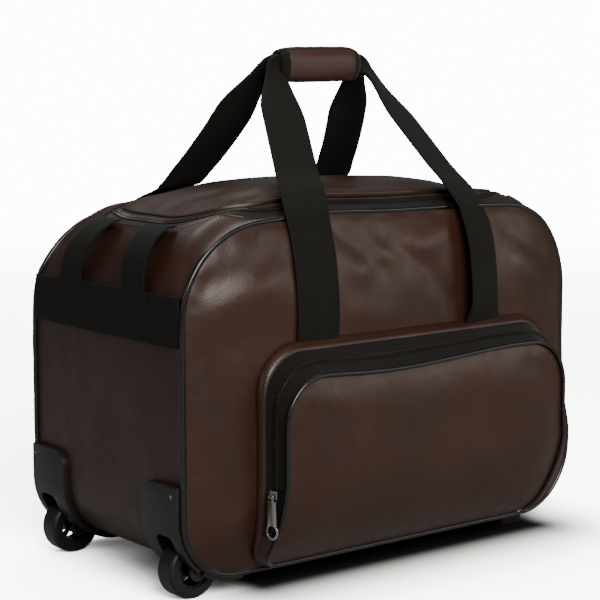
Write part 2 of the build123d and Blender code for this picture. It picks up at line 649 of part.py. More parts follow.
with BuildPart() as feet:
    for side in (-1, 1):
        with BuildSketch(Plane.XY.offset(FLOOR_GAP + 4)) as pad:
            with Locations((FOOT[0], side * FOOT[1])):
                RectangleRounded(36, 28, 6)
        extrude(pad.sketch, amount=-(FLOOR_GAP + 4), taper=7)
        with Locations((FOOT[0], side * FOOT[1], 4)):
            Cylinder(4, 8, mode=Mode.SUBTRACT)
    extrude(outline(200), amount=400, mode=Mode.SUBTRACT)
    with Locations((FOOT[0], FOOT[1], 20), (FOOT[0], -FOOT[1], 20)):
        Cylinder(SCREW_R, 40, mode=Mode.SUBTRACT)
save(feet, "base_feet")
with BuildPart() as foot_screws:
    with Locations((FOOT[0], FOOT[1], 6.5), (FOOT[0], -FOOT[1], 6.5)):
        Cylinder(3.6, 3)
    with Locations((FOOT[0], FOOT[1], 15), (FOOT[0], -FOOT[1], 15)):
        Cylinder(SCREW_R, 17)
save(foot_screws, "foot_screws")

# ---------------------------------------------------------------- floor, lining and trolley
BOARD_Z = (43.0, 46.0)
with BuildPart() as base_board:
    add_box((-184, 205), (-124, 124), BOARD_Z)
    for side in (-1, 1):
        cut_box(WELL_X, both_sides(WELL_OUTER_Y, side), WELL_Z)
save(base_board, "base_board")


def tube_section(size, wall=0.0, grow=0.0):
    """Both tubes' rounded section, seen along X, at the trolley's place."""
    width, height = size[0] - 2 * wall + grow, size[1] - 2 * wall + grow
    for side in (-1, 1):
        with Locations((side * TUBE_Y, TUBE_Z)):
            RectangleRounded(width, height, min(4.0, height / 2 - 0.5))


def tubes(size, x_from, x_to):
    """Two parallel hollow tubes along X."""
    with BuildPart() as pair:
        with BuildSketch(Plane.YZ.offset(x_from)) as section:
            tube_section(size)
        extrude(section.sketch, amount=x_to - x_from)
        with BuildSketch(Plane.YZ.offset(x_from)) as bore:
            tube_section(size, wall=size[2])
        extrude(bore.sketch, amount=x_to - x_from, mode=Mode.SUBTRACT)
    return pair


save(tubes(OUTER_TUBE, TUBE_START, SLEEVE_X), "trolley_outer_tubes")
save(tubes(MIDDLE_TUBE, TUBE_START + 5, SLEEVE_END + 0.5), "trolley_middle_tubes")
save(tubes(INNER_TUBE, TUBE_START + 10, BAR_X), "trolley_inner_tubes")

with BuildPart() as tube_brackets:
    for x in (-150, 10, 165):
        add_box((x, x + 20), (-TUBE_Y - 18, TUBE_Y + 18), (FLOOR_GAP + SKIN, BOARD_Z[0]))
    with BuildSketch(Plane.YZ.offset(TUBE_START)) as bore:
        tube_section(OUTER_TUBE)
    extrude(bore.sketch, amount=500, mode=Mode.SUBTRACT)
save(tube_brackets, "tube_brackets")

with BuildPart() as bezel:
    extrude(outline(76, -5), amount=152)
    extrude(outline(76), amount=152, mode=Mode.SUBTRACT)
    with BuildSketch(Plane.YZ.offset(HALF + 20)) as face:
        with Locations((0, 46)):
            RectangleRounded(148, 92, 14)
    extrude(face.sketch, amount=-75, mode=Mode.INTERSECT)
    for side in (-1, 1):
        add_box((SLEEVE_X, SLEEVE_END), both_sides(SLEEVE_Y, side), SLEEVE_Z)
    with BuildSketch(Plane.YZ.offset(SLEEVE_X)) as bore:
        tube_section(MIDDLE_TUBE, grow=0.6)
    extrude(bore.sketch, amount=60, mode=Mode.SUBTRACT)
    with BuildSketch(Plane.YZ.offset(SLEEVE_X - 50)) as seat:
        tube_section(OUTER_TUBE)
    extrude(seat.sketch, amount=50, mode=Mode.SUBTRACT)
    cut_box((SLEEVE_END, 300), (-BAR_HALF - 2, BAR_HALF + 2), (BAR_Z[0] - 2, BAR_Z[1] + 2))
save(bezel, "trolley_bezel")

with BuildPart() as collars:
    with BuildSketch(Plane.YZ.offset(SLEEVE_END + 0.5)) as section:
        tube_section((22.0, 15.0))
    extrude(section.sketch, amount=COLLAR_END - SLEEVE_END - 0.5)
    with BuildSketch(Plane.YZ.offset(SLEEVE_END)) as bore:
        tube_section(INNER_TUBE, grow=0.6)
    extrude(bore.sketch, amount=20, mode=Mode.SUBTRACT)
save(collars, "trolley_stage_collars")

with BuildPart() as trolley_grip:
    add_box((BAR_X, BAR_END), (-BAR_HALF, BAR_HALF), BAR_Z)
    fillet(trolley_grip.edges().filter_by(Axis.Z), 6)
    fillet(trolley_grip.faces().sort_by(Axis.X)[-1].edges().filter_by(Axis.Y), 5)
    cut_box((BAR_X + 3, BAR_END - 4), (-51, 51), (TUBE_Z - 5, TUBE_Z + 5))
    cut_box((BAR_END - 5, BAR_END + 5), (-14.3, 14.3), (TUBE_Z - 4.8, TUBE_Z + 4.8))
    for side in (-1, 1):
        rod((BAR_X - 1, BAR_X + 4), side * TUBE_Y, TUBE_Z, 2.2, Mode.SUBTRACT, Axis.X)
save(trolley_grip, "trolley_grip")

with BuildPart() as release_button:
    add_box((BAR_END - 7, BUTTON_END), (-14, 14), (TUBE_Z - 4.4, TUBE_Z + 4.4))
save(release_button, "release_button")
with BuildPart() as release_rods:
    add_box((BAR_X + 7, BAR_END - 7), (-49, 49), (TUBE_Z - 3, TUBE_Z + 3))
    for side in (-1, 1):
        rod((TUBE_START + 20, BAR_X + 8), side * TUBE_Y, TUBE_Z, 1.5, along=Axis.X)
save(release_rods, "release_rods")

LINING = dict(low=BOARD_Z[1] + 0.3 - 3.4, low_r=34.0)
with BuildPart() as lining:
    loft(envelope(3.4, GUSSET_Y - 0.2, **LINING), ruled=True)
    loft(envelope(4.4, GUSSET_Y - 1.2, **LINING), ruled=True, mode=Mode.SUBTRACT)
    extrude(lid_plan(TAPE_OUT + 1), amount=100, mode=Mode.SUBTRACT)
    for side in (-1, 1):
        cut_box(WELL_X, both_sides(WELL_OUTER_Y, side), (0, WELL_Z[1] + 0.3))
    rod((-260, -240), RIVET_Y, RIVET_Z, 4, Mode.SUBTRACT, Axis.X)
    rod((-260, -240), -RIVET_Y, RIVET_Z, 4, Mode.SUBTRACT, Axis.X)
save(lining, "lining")
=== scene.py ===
"""Looks of the wheeled holdall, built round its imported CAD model.

Shapes are worked out in millimetres about the bag's own centre line (x along the bag with the
wheels at -x, y from front to back, z up from the floor). mesh_object() lets the soft bag sag and
places them in the row frame."""
import math
from contextlib import contextmanager

import bmesh
import bpy
import numpy as np
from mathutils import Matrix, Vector, noise
from mathutils.geometry import delaunay_2d_cdt


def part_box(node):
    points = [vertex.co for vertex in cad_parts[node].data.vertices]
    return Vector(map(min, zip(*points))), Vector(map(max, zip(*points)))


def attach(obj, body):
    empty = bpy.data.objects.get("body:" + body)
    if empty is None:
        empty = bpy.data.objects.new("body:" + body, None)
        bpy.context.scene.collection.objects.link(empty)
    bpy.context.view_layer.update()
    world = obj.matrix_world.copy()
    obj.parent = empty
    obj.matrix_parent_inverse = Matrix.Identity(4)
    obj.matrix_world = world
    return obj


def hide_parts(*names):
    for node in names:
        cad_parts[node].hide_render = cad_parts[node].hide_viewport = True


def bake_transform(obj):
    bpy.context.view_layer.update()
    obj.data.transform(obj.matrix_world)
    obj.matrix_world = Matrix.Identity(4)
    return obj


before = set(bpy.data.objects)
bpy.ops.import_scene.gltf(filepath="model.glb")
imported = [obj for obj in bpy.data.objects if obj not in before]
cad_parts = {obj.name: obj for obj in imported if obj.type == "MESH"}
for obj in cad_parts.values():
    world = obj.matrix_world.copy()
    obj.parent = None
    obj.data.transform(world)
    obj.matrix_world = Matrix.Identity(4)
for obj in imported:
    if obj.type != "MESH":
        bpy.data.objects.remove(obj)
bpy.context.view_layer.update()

gusset_low, gusset_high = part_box("lower_gusset")
CENTRE = np.array([(gusset_low.x + gusset_high.x) / 2, (gusset_low.y + gusset_high.y) / 2, 0.0])
MM = 0.001

# ---------------------------------------------------------------- sizes shared with the CAD, mm
HALF = 250.0
GUSSET_Y = 129.0
PANEL_Y = 133.5
FLOOR_GAP = 22.0
EDGE_TOP = 352.0
CROWN_TOP = 364.0
TOP_R = 88.0
BOTTOM_R = 58.0
BULGE = 18.0
FACE_BASE = PANEL_Y + BULGE
ZIP_X = 208.0
ZIP_FRONT_Y = -113.0
ZIP_R = 75.0
HINGE_Y = 62.0
TAIL_Y = 42.0
POCKET_X = 12.0
POCKET_DEPTH = 38.0
FLAP_Z = 108.2
POCKET_ZIP = 0.52
POCKET_ZIP_END = 60.0
FACE_Y = FACE_BASE + POCKET_DEPTH
STRAP_X = 107.0
HANDLE_Z = 344.0
GRIP_X = 13.0
GRIP_Z = 498.0
GRIP_HALF = 52.0
SHOULDER = HALF - TOP_R

# thicknesses, mm, and the numbers of stations round the outlines
LEATHER = 2.6
TAPE = 0.9
PIPING_RADIUS = 2.7
POCKET_PIPING_RADIUS = 2.3
TAPE_COLUMNS = 7
ZIP_STATIONS = 400
RING = 420
POCKET_RING = 560
LOWER_RING = 900
BAND_STATIONS = 90

# webbing and grip, mm
HANDLE_STRAP = (51, 2.3)
FOLDED_STRAP = (24, 4.4)
END_BAND = (48, 2.2)
END_LOOP = (38, 2.2)
BAND_Z = 267.0
GRIP_DEPTH = 13
GRIP_HEIGHT = 17
COVER_FROM_Y = 8.6
BINDING = 9
REAR_SEAM_LOW = 62


# ---------------------------------------------------------------- mesh helpers
def smooth(value):
    value = np.clip(value, 0.0, 1.0)
    return value * value * (3 - 2 * value)


def unit(vectors):
    vectors = np.asarray(vectors, float)
    return vectors / np.maximum(np.linalg.norm(vectors, axis=-1, keepdims=True), 1e-12)


def bell(value, middle, width):
    return np.exp(-(((value - middle) / width) ** 2))


def sag(points):
    """Where the soft, half-filled bag settles away from its straight-edged pattern, in mm."""
    p = np.asarray(points, float).reshape(-1, 3).copy()
    x, y, z = p.T.copy()
    high = smooth((z - 285) / 60) * smooth((400 - z) / 30)
    front = smooth((70 - y) / 130)
    p[:, 2] += high * (4.0 * np.exp(-((x / 165) ** 4)) + 3.2 * front * bell(x, -80, 62))
    p[:, 1] -= 8.0 * smooth((y - 55) / 70) * smooth((z - 215) / 120) * smooth((420 - z) / 50)
    p[:, 2] -= 8.0 * smooth((y - 30) / 80) * smooth((z - 270) / 60) * smooth((-x - 95) / 70) * (z < 372)
    p[:, 0] -= 6.0 * smooth((x - 150) / 95) * smooth((z - 92) / 60) * smooth((375 - z) / 90)
    near = smooth((-y - 50) / 60) * (1 - smooth((-y - FACE_BASE - 3) / 30))
    p[:, 0] += 8.0 * smooth((x - 165) / 75) * near * bell(z, 105, 52)
    p[:, 2] -= 2.6 * smooth((60 - z) / 36) * smooth((150 - np.abs(x)) / 70) * smooth((125 - np.abs(y)) / 40)
    reach = smooth((-y - FACE_BASE - 3) / 30)
    p[:, 2] -= reach * smooth((z - 140) / 70) * (5.5 * bell(x, -40, 85) - 2.0 * bell(x, 120, 50))
    return p


@contextmanager
def editing(mesh):
    """Opens a mesh for editing and writes the result back to it."""
    bm = bmesh.new()
    bm.from_mesh(mesh)
    yield bm
    bm.to_mesh(mesh)
    bm.free()


def scene_object(name, data):
    obj = bpy.data.objects.new(name, data)
    bpy.context.scene.collection.objects.link(obj)
    return obj


def shade_smooth(mesh, sharp=None):
    """Smooth shading, with hard edges where faces meet at more than an angle in degrees."""
    mesh.polygons.foreach_set("use_smooth", [True] * len(mesh.polygons))
    if sharp is not None:
        mesh.set_sharp_from_angle(angle=math.radians(sharp))


def mesh_object(name, points, faces, uv=None, sharp=None):
    """A mesh from points in own millimetres; uv is in metres per point, sharp an angle in degrees."""
    mesh = bpy.data.meshes.new(name)
    placed = sag(points) * MM + CENTRE
    mesh.from_pydata(placed.tolist(), [], [list(map(int, f)) for f in faces])
    if uv is not None:
        uv = np.asarray(uv, float).reshape(-1, 2)
        layer = mesh.uv_layers.new(name="UVMap")
        index = np.zeros(len(mesh.loops), int)
        mesh.loops.foreach_get("vertex_index", index)
        layer.data.foreach_set("uv", uv[index].ravel())
    shade_smooth(mesh, sharp)
    return scene_object(name, mesh)


def weld(obj, distance=2e-6):
    with editing(obj.data) as bm:
        bmesh.ops.remove_doubles(bm, verts=bm.verts, dist=distance)
        bmesh.ops.dissolve_degenerate(bm, edges=bm.edges, dist=distance)
        bmesh.ops.recalc_face_normals(bm, faces=bm.faces)
    return obj


def grid_faces(rows, columns, close_rows=False, close_columns=False):
    i = np.arange(rows if close_rows else rows - 1)
    j = np.arange(columns if close_columns else columns - 1)
    i, j = np.meshgrid(i, j, indexing="ij")
    i2, j2 = (i + 1) % rows, (j + 1) % columns
    quads = np.stack([i * columns + j, i2 * columns + j, i2 * columns + j2, i * columns + j2], -1)
    return quads.reshape(-1, 4).tolist()


def arc_length(path):
    steps = np.linalg.norm(np.diff(path, axis=0), axis=1)
    return np.concatenate([[0], np.cumsum(steps)])


def read_along(values, s, at):
    """Values given at the distances s along a path, read at other distances."""
    return np.stack([np.interp(at, s, column) for column in np.asarray(values).T], -1)


def resample(path, count, closed=False):
    path = np.asarray(path, float)
    if closed:
        path = np.vstack([path, path[:1]])
    s = arc_length(path)
    at = np.linspace(0, s[-1], count + 1)[:-1] if closed else np.linspace(0, s[-1], count)
    return read_along(path, s, at)


def grid_uv(along, across):
    """UV in metres for a grid of points, from the distances along its two sides."""
    return np.stack(np.broadcast_arrays(along[:, None], across[None]), -1) * MM


def spline(points, count):
    """A smooth Catmull-Rom path through the points."""
    p = np.asarray(points, float)
    p = np.vstack([2 * p[0] - p[1], p, 2 * p[-1] - p[-2]])
    out = []
    for k in range(1, len(p) - 2):
        t = np.linspace(0, 1, 24, endpoint=False)[:, None]
        a, b, c, d = p[k - 1], p[k], p[k + 1], p[k + 2]
        out.append(0.5 * (2 * b + (c - a) * t + (2 * a - 5 * b + 4 * c - d) * t**2
                          + (3 * b - a - 3 * c + d) * t**3))
    out.append(p[-2][None])
    return resample(np.vstack(out), count)


def tangents(path, closed=False):
    if closed:
        return unit(np.roll(path, -1, 0) - np.roll(path, 1, 0))
    return unit(np.gradient(path, axis=0))


def solid_sheet(name, top, depth, normals, uv=None, close_rows=False):
    """A sheet with thickness: top is a grid of points, depth the thickness along its normals."""
    rows, columns = top.shape[:2]
    under = top - normals * depth
    points = np.concatenate([top.reshape(-1, 3), under.reshape(-1, 3)])
    faces = grid_faces(rows, columns, close_rows)
    count = rows * columns
    faces += [[v + count for v in f[::-1]] for f in faces]
    grid = np.arange(count).reshape(rows, columns)
    rims = [(grid[:, 0], False), (grid[:, -1], True)]
    if close_rows:
        rims = [(np.append(line, line[0]), turn) for line, turn in rims]
    else:
        rims += [(grid[0], True), (grid[-1], False)]
    for line, turn in rims:
        for a, b in zip(line, line[1:]):
            quad = [a, a + count, b + count, b]
            faces.append(quad[::-1] if turn else quad)
    both = None if uv is None else np.concatenate([uv.reshape(-1, 2)] * 2)
    obj = mesh_object(name, points, faces, both, sharp=50)
    with editing(obj.data) as bm:
        bmesh.ops.recalc_face_normals(bm, faces=bm.faces)
    return obj


def sweep(name, path, across, normal, profile, closed=False, scale=None, caps=True):
    """Sweeps a closed profile of (across, normal) offsets along a path. UV: metres along and across."""
    path = np.asarray(path, float)
    across, normal = (np.broadcast_to(np.asarray(a, float), path.shape) for a in (across, normal))
    profile = np.asarray(profile, float)
    scale = np.ones((len(path), 2)) if scale is None else np.asarray(scale, float)
    ring = (path[:, None] + across[:, None] * (profile[:, 0] * scale[:, :1])[..., None]
            + normal[:, None] * (profile[:, 1] * scale[:, 1:])[..., None])
    count = len(profile)
    ring = np.concatenate([ring, ring[:, :1]], 1)
    girth = arc_length(np.vstack([profile, profile[:1]]))
    if closed:
        ring = np.concatenate([ring, ring[:1]], 0)
    along = arc_length(np.vstack([path, path[:1]]) if closed else path)
    uv = grid_uv(along, girth)
    faces = grid_faces(ring.shape[0], count + 1)
    if caps and not closed:
        last = (ring.shape[0] - 1) * (count + 1)
        faces += [list(range(count)), [last + k for k in range(count)][::-1]]
    return weld(mesh_object(name, ring, faces, uv, sharp=50))


def round_profile(radius, sides=12):
    a = np.linspace(0, 2 * math.pi, sides, endpoint=False)
    return np.stack([radius * np.cos(a), radius * np.sin(a)], -1)


def strap_profile(width, thick, rounding=5):
    """A flat strap's section with half-round edges, a few columns across and a faint crown."""
    half, edge = width / 2, thick / 2
    a = np.linspace(-math.pi / 2, math.pi / 2, rounding)
    x = np.linspace(-half + edge, half - edge, 9)
    crown = 0.12 * (1 - (x / half) ** 2)
    right = np.stack([half - edge + edge * np.cos(a), edge * np.sin(a)], -1)
    top = np.stack([x[::-1], edge + crown[::-1]], -1)[1:-1]
    left = np.stack([-half + edge - edge * np.cos(a), -edge * np.sin(a)], -1)
    low = np.stack([x, -edge - crown], -1)[1:-1]
    return np.vstack([right, top, left, low])


def tube(name, path, radius, normal, closed=False, sides=12):
    path = np.asarray(path, float)
    along = tangents(path, closed)
    normal = np.broadcast_to(np.asarray(normal, float), path.shape)
    across = unit(np.cross(along, normal))
    return sweep(name, path, across, unit(np.cross(across, along)), round_profile(radius, sides), closed)


def stamp(name, shape, faces, origins, x_axis, y_axis, z_axis, sharp=40):
    """Copies a small shape to every origin, turned to the axes given there."""
    shape = np.asarray(shape, float)
    origins = np.asarray(origins, float)
    axes = [np.broadcast_to(np.asarray(a, float), origins.shape) for a in (x_axis, y_axis, z_axis)]
    points = origins[:, None] + sum(axes[k][:, None] * shape[None, :, k:k + 1] for k in range(3))
    count = len(shape)
    every = [[v + n * count for v in f] for n in range(len(origins)) for f in faces]
    return mesh_object(name, points, every, sharp=sharp)


def stitches(name, path, normal, length=3.0, pitch=4.4, radius=0.33, lift=0.2):
    """A row of thread stitches lying on a path."""
    path = np.asarray(path, float)
    normal = np.broadcast_to(np.asarray(normal, float), path.shape)
    s = arc_length(path)
    at = np.arange(pitch / 2, s[-1], pitch)
    spot = read_along(path, s, at)
    up = unit(read_along(normal, s, at))
    along = unit(read_along(tangents(path), s, at))
    side = unit(np.cross(up, along))
    sides, stations = 5, np.array([-1.0, -0.8, -0.3, 0.3, 0.8, 1.0])
    girth = np.array([0.15, 0.75, 1.0, 1.0, 0.75, 0.15])
    ring = round_profile(1.0, sides)
    shape = [(t * length / 2, radius * g * c[0], radius * g * c[1] * 0.8 + (g - 1) * radius)
             for t, g in zip(stations, girth) for c in ring]
    faces = grid_faces(len(stations), sides, close_columns=True)
    faces += [list(range(sides))[::-1], [(len(stations) - 1) * sides + k for k in range(sides)]]
    return stamp(name, shape, faces, spot + up * lift, along, side, up, sharp=80)


def ripple(points, scale, amount, seed=0.0, stretch=(1, 1, 1)):
    """Smooth noise for every point, in the amount given; scale is the size of one wave in mm."""
    flat = np.asarray(points, float).reshape(-1, 3) * np.asarray(stretch) / scale + seed
    values = [noise.noise(Vector(p)) for p in flat.tolist()]
    return amount * np.array(values).reshape(np.asarray(points).shape[:-1])


def creases(u, v, strokes):
    """Sum of soft folds: each stroke is (u0, v0, u1, v1, width, height)."""
    total = np.zeros_like(u)
    for u0, v0, u1, v1, width, height in strokes:
        du, dv = u1 - u0, v1 - v0
        size = math.hypot(du, dv)
        along = ((u - u0) * du + (v - v0) * dv) / size**2
        off = ((u - u0) * dv - (v - v0) * du) / size
        taper = smooth(np.clip(1.5 - np.abs(along - 0.5) * 2, 0, 1) / 0.8)
        total += height * taper * np.exp(-((off / width) ** 2))
    return total


# ---------------------------------------------------------------- materials
def put(tree, socket, value):
    """Links an output to a socket, or sets the socket's own value."""
    if isinstance(value, bpy.types.NodeSocket):
        tree.links.new(value, socket)
    else:
        socket.default_value = value


def node_adder(tree):
    def add(kind, **inputs):
        """Adds a node: set_x gives its property x, i3 its socket 3, any other name that socket."""
        node = tree.nodes.new(kind)
        for key, value in inputs.items():
            if key.startswith("set_"):
                setattr(node, key[4:], value)
            else:
                which = int(key[1:]) if key[0] == "i" and key[1:].isdigit() else key
                put(tree, node.inputs[which], value)
        return node

    return add


def new_material(name):
    """A material, a way to add nodes to it, and the object's own coordinates."""
    material = bpy.data.materials.new(name)
    material.use_nodes = True
    add = node_adder(material.node_tree)
    return material, add, add("ShaderNodeTexCoord").outputs["Object"]


def fill_shader(material, values):
    """Fills the sockets of a material's main shader, each with an output or a plain value."""
    tree = material.node_tree
    for name, value in values.items():
        put(tree, tree.nodes["Principled BSDF"].inputs[name], value)
    return material


def noise_node(add, spot, scale, detail, **more):
    return add("ShaderNodeTexNoise", Vector=spot, Scale=scale, Detail=detail, **more).outputs["Fac"]


def bump_node(add, height, strength, distance, **more):
    """A bump of the height given; its distance is in metres."""
    node = add("ShaderNodeBump", Height=height, Strength=strength, Distance=distance, **more)
    return node.outputs["Normal"]


def math_node(add, operation, *values):
    inputs = {f"i{k}": value for k, value in enumerate(values)}
    return add("ShaderNodeMath", set_operation=operation, **inputs).outputs[0]


def multiply_colors(add, one, two):
    return add("ShaderNodeMix", set_data_type="RGBA", set_blend_type="MULTIPLY", i0=1.0, i6=one,
               i7=two).outputs[2]


def ramp(add, source, stops):
    node = add("ShaderNodeValToRGB", Fac=source)
    elements = node.color_ramp.elements
    while len(elements) < len(stops):
        elements.new(0.5)
    for element, (place_at, color) in zip(elements, stops):
        element.position = place_at
        element.color = (*color, 1) if len(color) == 3 else color
    return node.outputs["Color"]


def leather(name, dark, light, rough=0.36, grain=0.55, coat=0.12):
    """Glossy embossed faux leather: pebbled grain, faint pull wrinkles, slightly uneven colour."""
    material, add, spot = new_material(name)
    pebbles = add("ShaderNodeTexVoronoi", Vector=spot, Scale=820.0, Randomness=0.9,
                  set_feature="SMOOTH_F1").outputs["Distance"]
    fine = noise_node(add, spot, 2400.0, 2.0)
    mottled = noise_node(add, spot, 14.0, 4.0, Roughness=0.55)
    pulls = noise_node(add, spot, 70.0, 3.0, Distortion=0.6)
    color = ramp(add, mottled, [(0.3, dark), (0.72, light)])
    pores = ramp(add, pebbles, [(0.0, (1.0, 1.0, 1.0)), (0.75, (0.72, 0.7, 0.7))])
    gloss = add("ShaderNodeMapRange", Value=pulls, i1=0.25, i2=0.75, i3=rough - 0.05, i4=rough + 0.09)
    soft = bump_node(add, pulls, 0.16, 0.0016)
    coarse = bump_node(add, pebbles, grain, 0.00022, Normal=soft, set_invert=True)
    sharp = bump_node(add, fine, 0.12, 0.00006, Normal=coarse)
    return fill_shader(material, {
        "Base Color": multiply_colors(add, color, pores), "Roughness": gloss.outputs["Result"],
        "Normal": sharp, "Specular IOR Level": 0.42, "Coat Weight": coat, "Coat Roughness": 0.32,
    })


def woven(name, dark, light, pitch, rib=0.6, rough=0.72, sheen=0.12, twill=True):
    """Woven webbing or tape from UV in metres: ribs along u, crossed by a diagonal twill, with painted
    highlight on the raised threads and painted shade in the hollows.
    """
    material, add, spot = new_material(name)
    uv = add("ShaderNodeUVMap", set_uv_map="UVMap").outputs["UV"]
    split = add("ShaderNodeSeparateXYZ", Vector=uv)
    along, across = split.outputs["X"], split.outputs["Y"]

    def wave(value, size):
        turned = math_node(add, "MULTIPLY", value, 2 * math.pi / size)
        sine = math_node(add, "SINE", turned)
        return add("ShaderNodeMapRange", Value=sine, i1=-1.0, i2=1.0).outputs["Result"]

    slant = math_node(add, "ADD", along, across) if twill else along
    ribs = math_node(add, "MULTIPLY", wave(across, pitch), 0.55)
    weave = math_node(add, "MULTIPLY_ADD", wave(slant, pitch * 0.8), 0.45, ribs)
    fibres = noise_node(add, spot, 2600.0, 3.0)
    height = math_node(add, "MULTIPLY_ADD", fibres, 0.35, weave)
    # Painted highlight and shade: the colour follows the weave's height, light on the raised threads and
    # dark in the hollows.
    color = ramp(add, height, [(0.25, dark), (0.95, light)])
    worn = noise_node(add, spot, 24.0, 4.0)
    fade = ramp(add, worn, [(0.3, (0.86, 0.86, 0.86)), (0.7, (1.0, 1.0, 1.0))])
    return fill_shader(material, {
        "Base Color": multiply_colors(add, color, fade), "Roughness": rough,
        "Normal": bump_node(add, height, rib, 0.0004), "Specular IOR Level": 0.14,
        "Sheen Weight": sheen, "Sheen Roughness": 0.5,
    })


def moulded(name, color, rough, texture=1400.0, depth=0.00006, metal=0.0, vary=0.06, coat=0.0,
            strength=0.35):
    """Moulded plastic, rubber or metal: a fine surface texture, uneven gloss and faint scuffs."""
    material, add, spot = new_material(name)
    spark = noise_node(add, spot, texture, 3.0)
    scuff = noise_node(add, spot, 38.0, 5.0, Roughness=0.62)
    low = tuple(c * 0.82 for c in color)
    high = tuple(min(1.0, c * 1.16) for c in color)
    gloss = add("ShaderNodeMapRange", Value=scuff, i1=0.3, i2=0.75, i3=max(0.04, rough - vary),
                i4=rough + vary)
    return fill_shader(material, {
        "Base Color": ramp(add, scuff, [(0.32, low), (0.7, high)]), "Roughness": gloss.outputs["Result"],
        "Normal": bump_node(add, spark, strength, depth), "Metallic": metal, "Coat Weight": coat,
    })


BROWN_DARK, BROWN_LIGHT = (0.036, 0.0135, 0.0072), (0.050, 0.0198, 0.0108)
M = {
    "leather": leather("brown_leather", BROWN_DARK, BROWN_LIGHT),
    "grip": leather("grip_leather", (0.050, 0.021, 0.016), (0.070, 0.031, 0.024), rough=0.42),
    "webbing": woven("olive_black_webbing", (0.0035, 0.0035, 0.0026), (0.0125, 0.0122, 0.0095), 0.0022,
                     sheen=0.03),
    "tape": woven("zip_tape_weave", (0.0025, 0.0025, 0.0022), (0.010, 0.010, 0.009), 0.0012,
                  rib=0.4, rough=0.66),
    "binding": woven("grosgrain_binding", (0.003, 0.003, 0.0025), (0.011, 0.011, 0.009), 0.0014,
                     twill=False),
    "lining": woven("lining_cloth", (0.010, 0.010, 0.012), (0.030, 0.030, 0.033), 0.0016,
                    rib=0.35, rough=0.6),
    "piping": moulded("black_piping", (0.007, 0.0065, 0.006), 0.24, texture=900.0, coat=0.3),
    "coil": moulded("zip_coil_bronze_black", (0.050, 0.042, 0.032), 0.3, texture=2500.0, metal=0.6),
    "thread": moulded("bonded_thread", (0.012, 0.0105, 0.009), 0.5, texture=4200.0),
    "gunmetal": moulded("nickel_slider", (0.52, 0.51, 0.5), 0.27, metal=1.0, texture=600.0, depth=0.00002),
    "housing": moulded("housing_plastic", (0.013, 0.0125, 0.0105), 0.4, texture=1100.0, depth=0.00012,
                       strength=0.6),
    "smooth_plastic": moulded("smooth_black_plastic", (0.011, 0.011, 0.011), 0.32),
    "rubber": moulded("wheel_rubber", (0.009, 0.009, 0.009), 0.42, texture=800.0),
    "steel": moulded("steel_fixings", (0.30, 0.30, 0.30), 0.3, metal=1.0, texture=500.0, depth=0.00001),
    "aluminium": moulded("anodised_tube", (0.52, 0.53, 0.55), 0.3, metal=1.0, texture=900.0,
                         depth=0.00001),
    "board": moulded("base_board", (0.012, 0.012, 0.012), 0.55),
}


def dress(obj, body, slot, material, *replaced):
    """Gives a piece its material and body, and hides the CAD nodes it stands for; slot is not used."""
    obj.data.materials.clear()
    obj.data.materials.append(M[material])
    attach(obj, body)
    if replaced:
        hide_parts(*replaced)
    return obj


def dress_bending(obj, body, slot, material, still, moved, *replaced):
    """Gives a piece of the bag its material, bakes its placement into its mesh and hides the CAD nodes it
    stands for; body, slot and the two points (y, z), still and moved, are not used.
    """
    obj.data.materials.append(M[material])
    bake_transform(obj)
    if replaced:
        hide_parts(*replaced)


def sew(name, path, normal, slot="zip_tape", body="bag"):
    """A dressed row of stitches."""
    dress(stitches(name, path, normal), body, slot, "thread")


# ---------------------------------------------------------------- outlines and surfaces
def rounded_outline(half, low, high, r_top, r_low, count=None):
    """Front-view outline as (x, z), starting at the middle of the bottom and running towards +x."""
    def arc(cx, cz, r, start, stop):
        a = np.radians(np.linspace(start, stop, 28))
        return np.stack([cx + r * np.cos(a), cz + r * np.sin(a)], -1)

    path = np.vstack([
        [[0, low]], arc(half - r_low, low + r_low, r_low, -90, 0),
        arc(half - r_top, high - r_top, r_top, 0, 90), arc(-half + r_top, high - r_top, r_top, 90, 180),
        arc(-half + r_low, low + r_low, r_low, 180, 270), [[0, low]],
    ])
    s = arc_length(path)
    keep = np.concatenate([[True], np.diff(s) > 1e-6])
    path = path[keep]
    if count is None:
        return path[:-1]
    at = np.linspace(0, s[-1], count + 1)[:-1]
    return read_along(path, arc_length(path), at)


def outward(outline):
    """Outward unit normals of a closed outline that runs counter-clockwise."""
    along = tangents(outline, closed=True)
    return np.stack([along[:, 1], -along[:, 0]], -1)


def edge_top(y):
    """Height of the top of the bag's skin across its depth."""
    return EDGE_TOP + (CROWN_TOP - EDGE_TOP) * smooth((GUSSET_Y - np.abs(y)) / 24.0)


LID_FOLDS = [
    (-150, -70, -60, -92, 15, -1.8), (-60, -78, 60, -90, 13, -1.3), (70, -92, 160, -60, 15, -1.6),
    (-186, -20, -120, -55, 18, -2.0), (120, -20, 184, 16, 20, -1.5), (-120, 30, -20, 5, 26, 1.4),
    (20, 20, 110, -25, 28, 1.2), (-50, -38, 20, -58, 20, 1.2), (-170, 40, -100, 52, 16, -1.2),
]


def top_height(a, y):
    """Extra height of the lid and top skin over the plain shoulder shape."""
    ring = 1 - smooth((np.abs(a) / 205.0) ** 2.2)
    ring = ring * (1 - smooth((np.abs(y + 22) / 98.0) ** 2.4))
    lean = 1 - 0.16 * np.clip(a / 200.0, -1, 1)
    return 14.0 * ring * lean


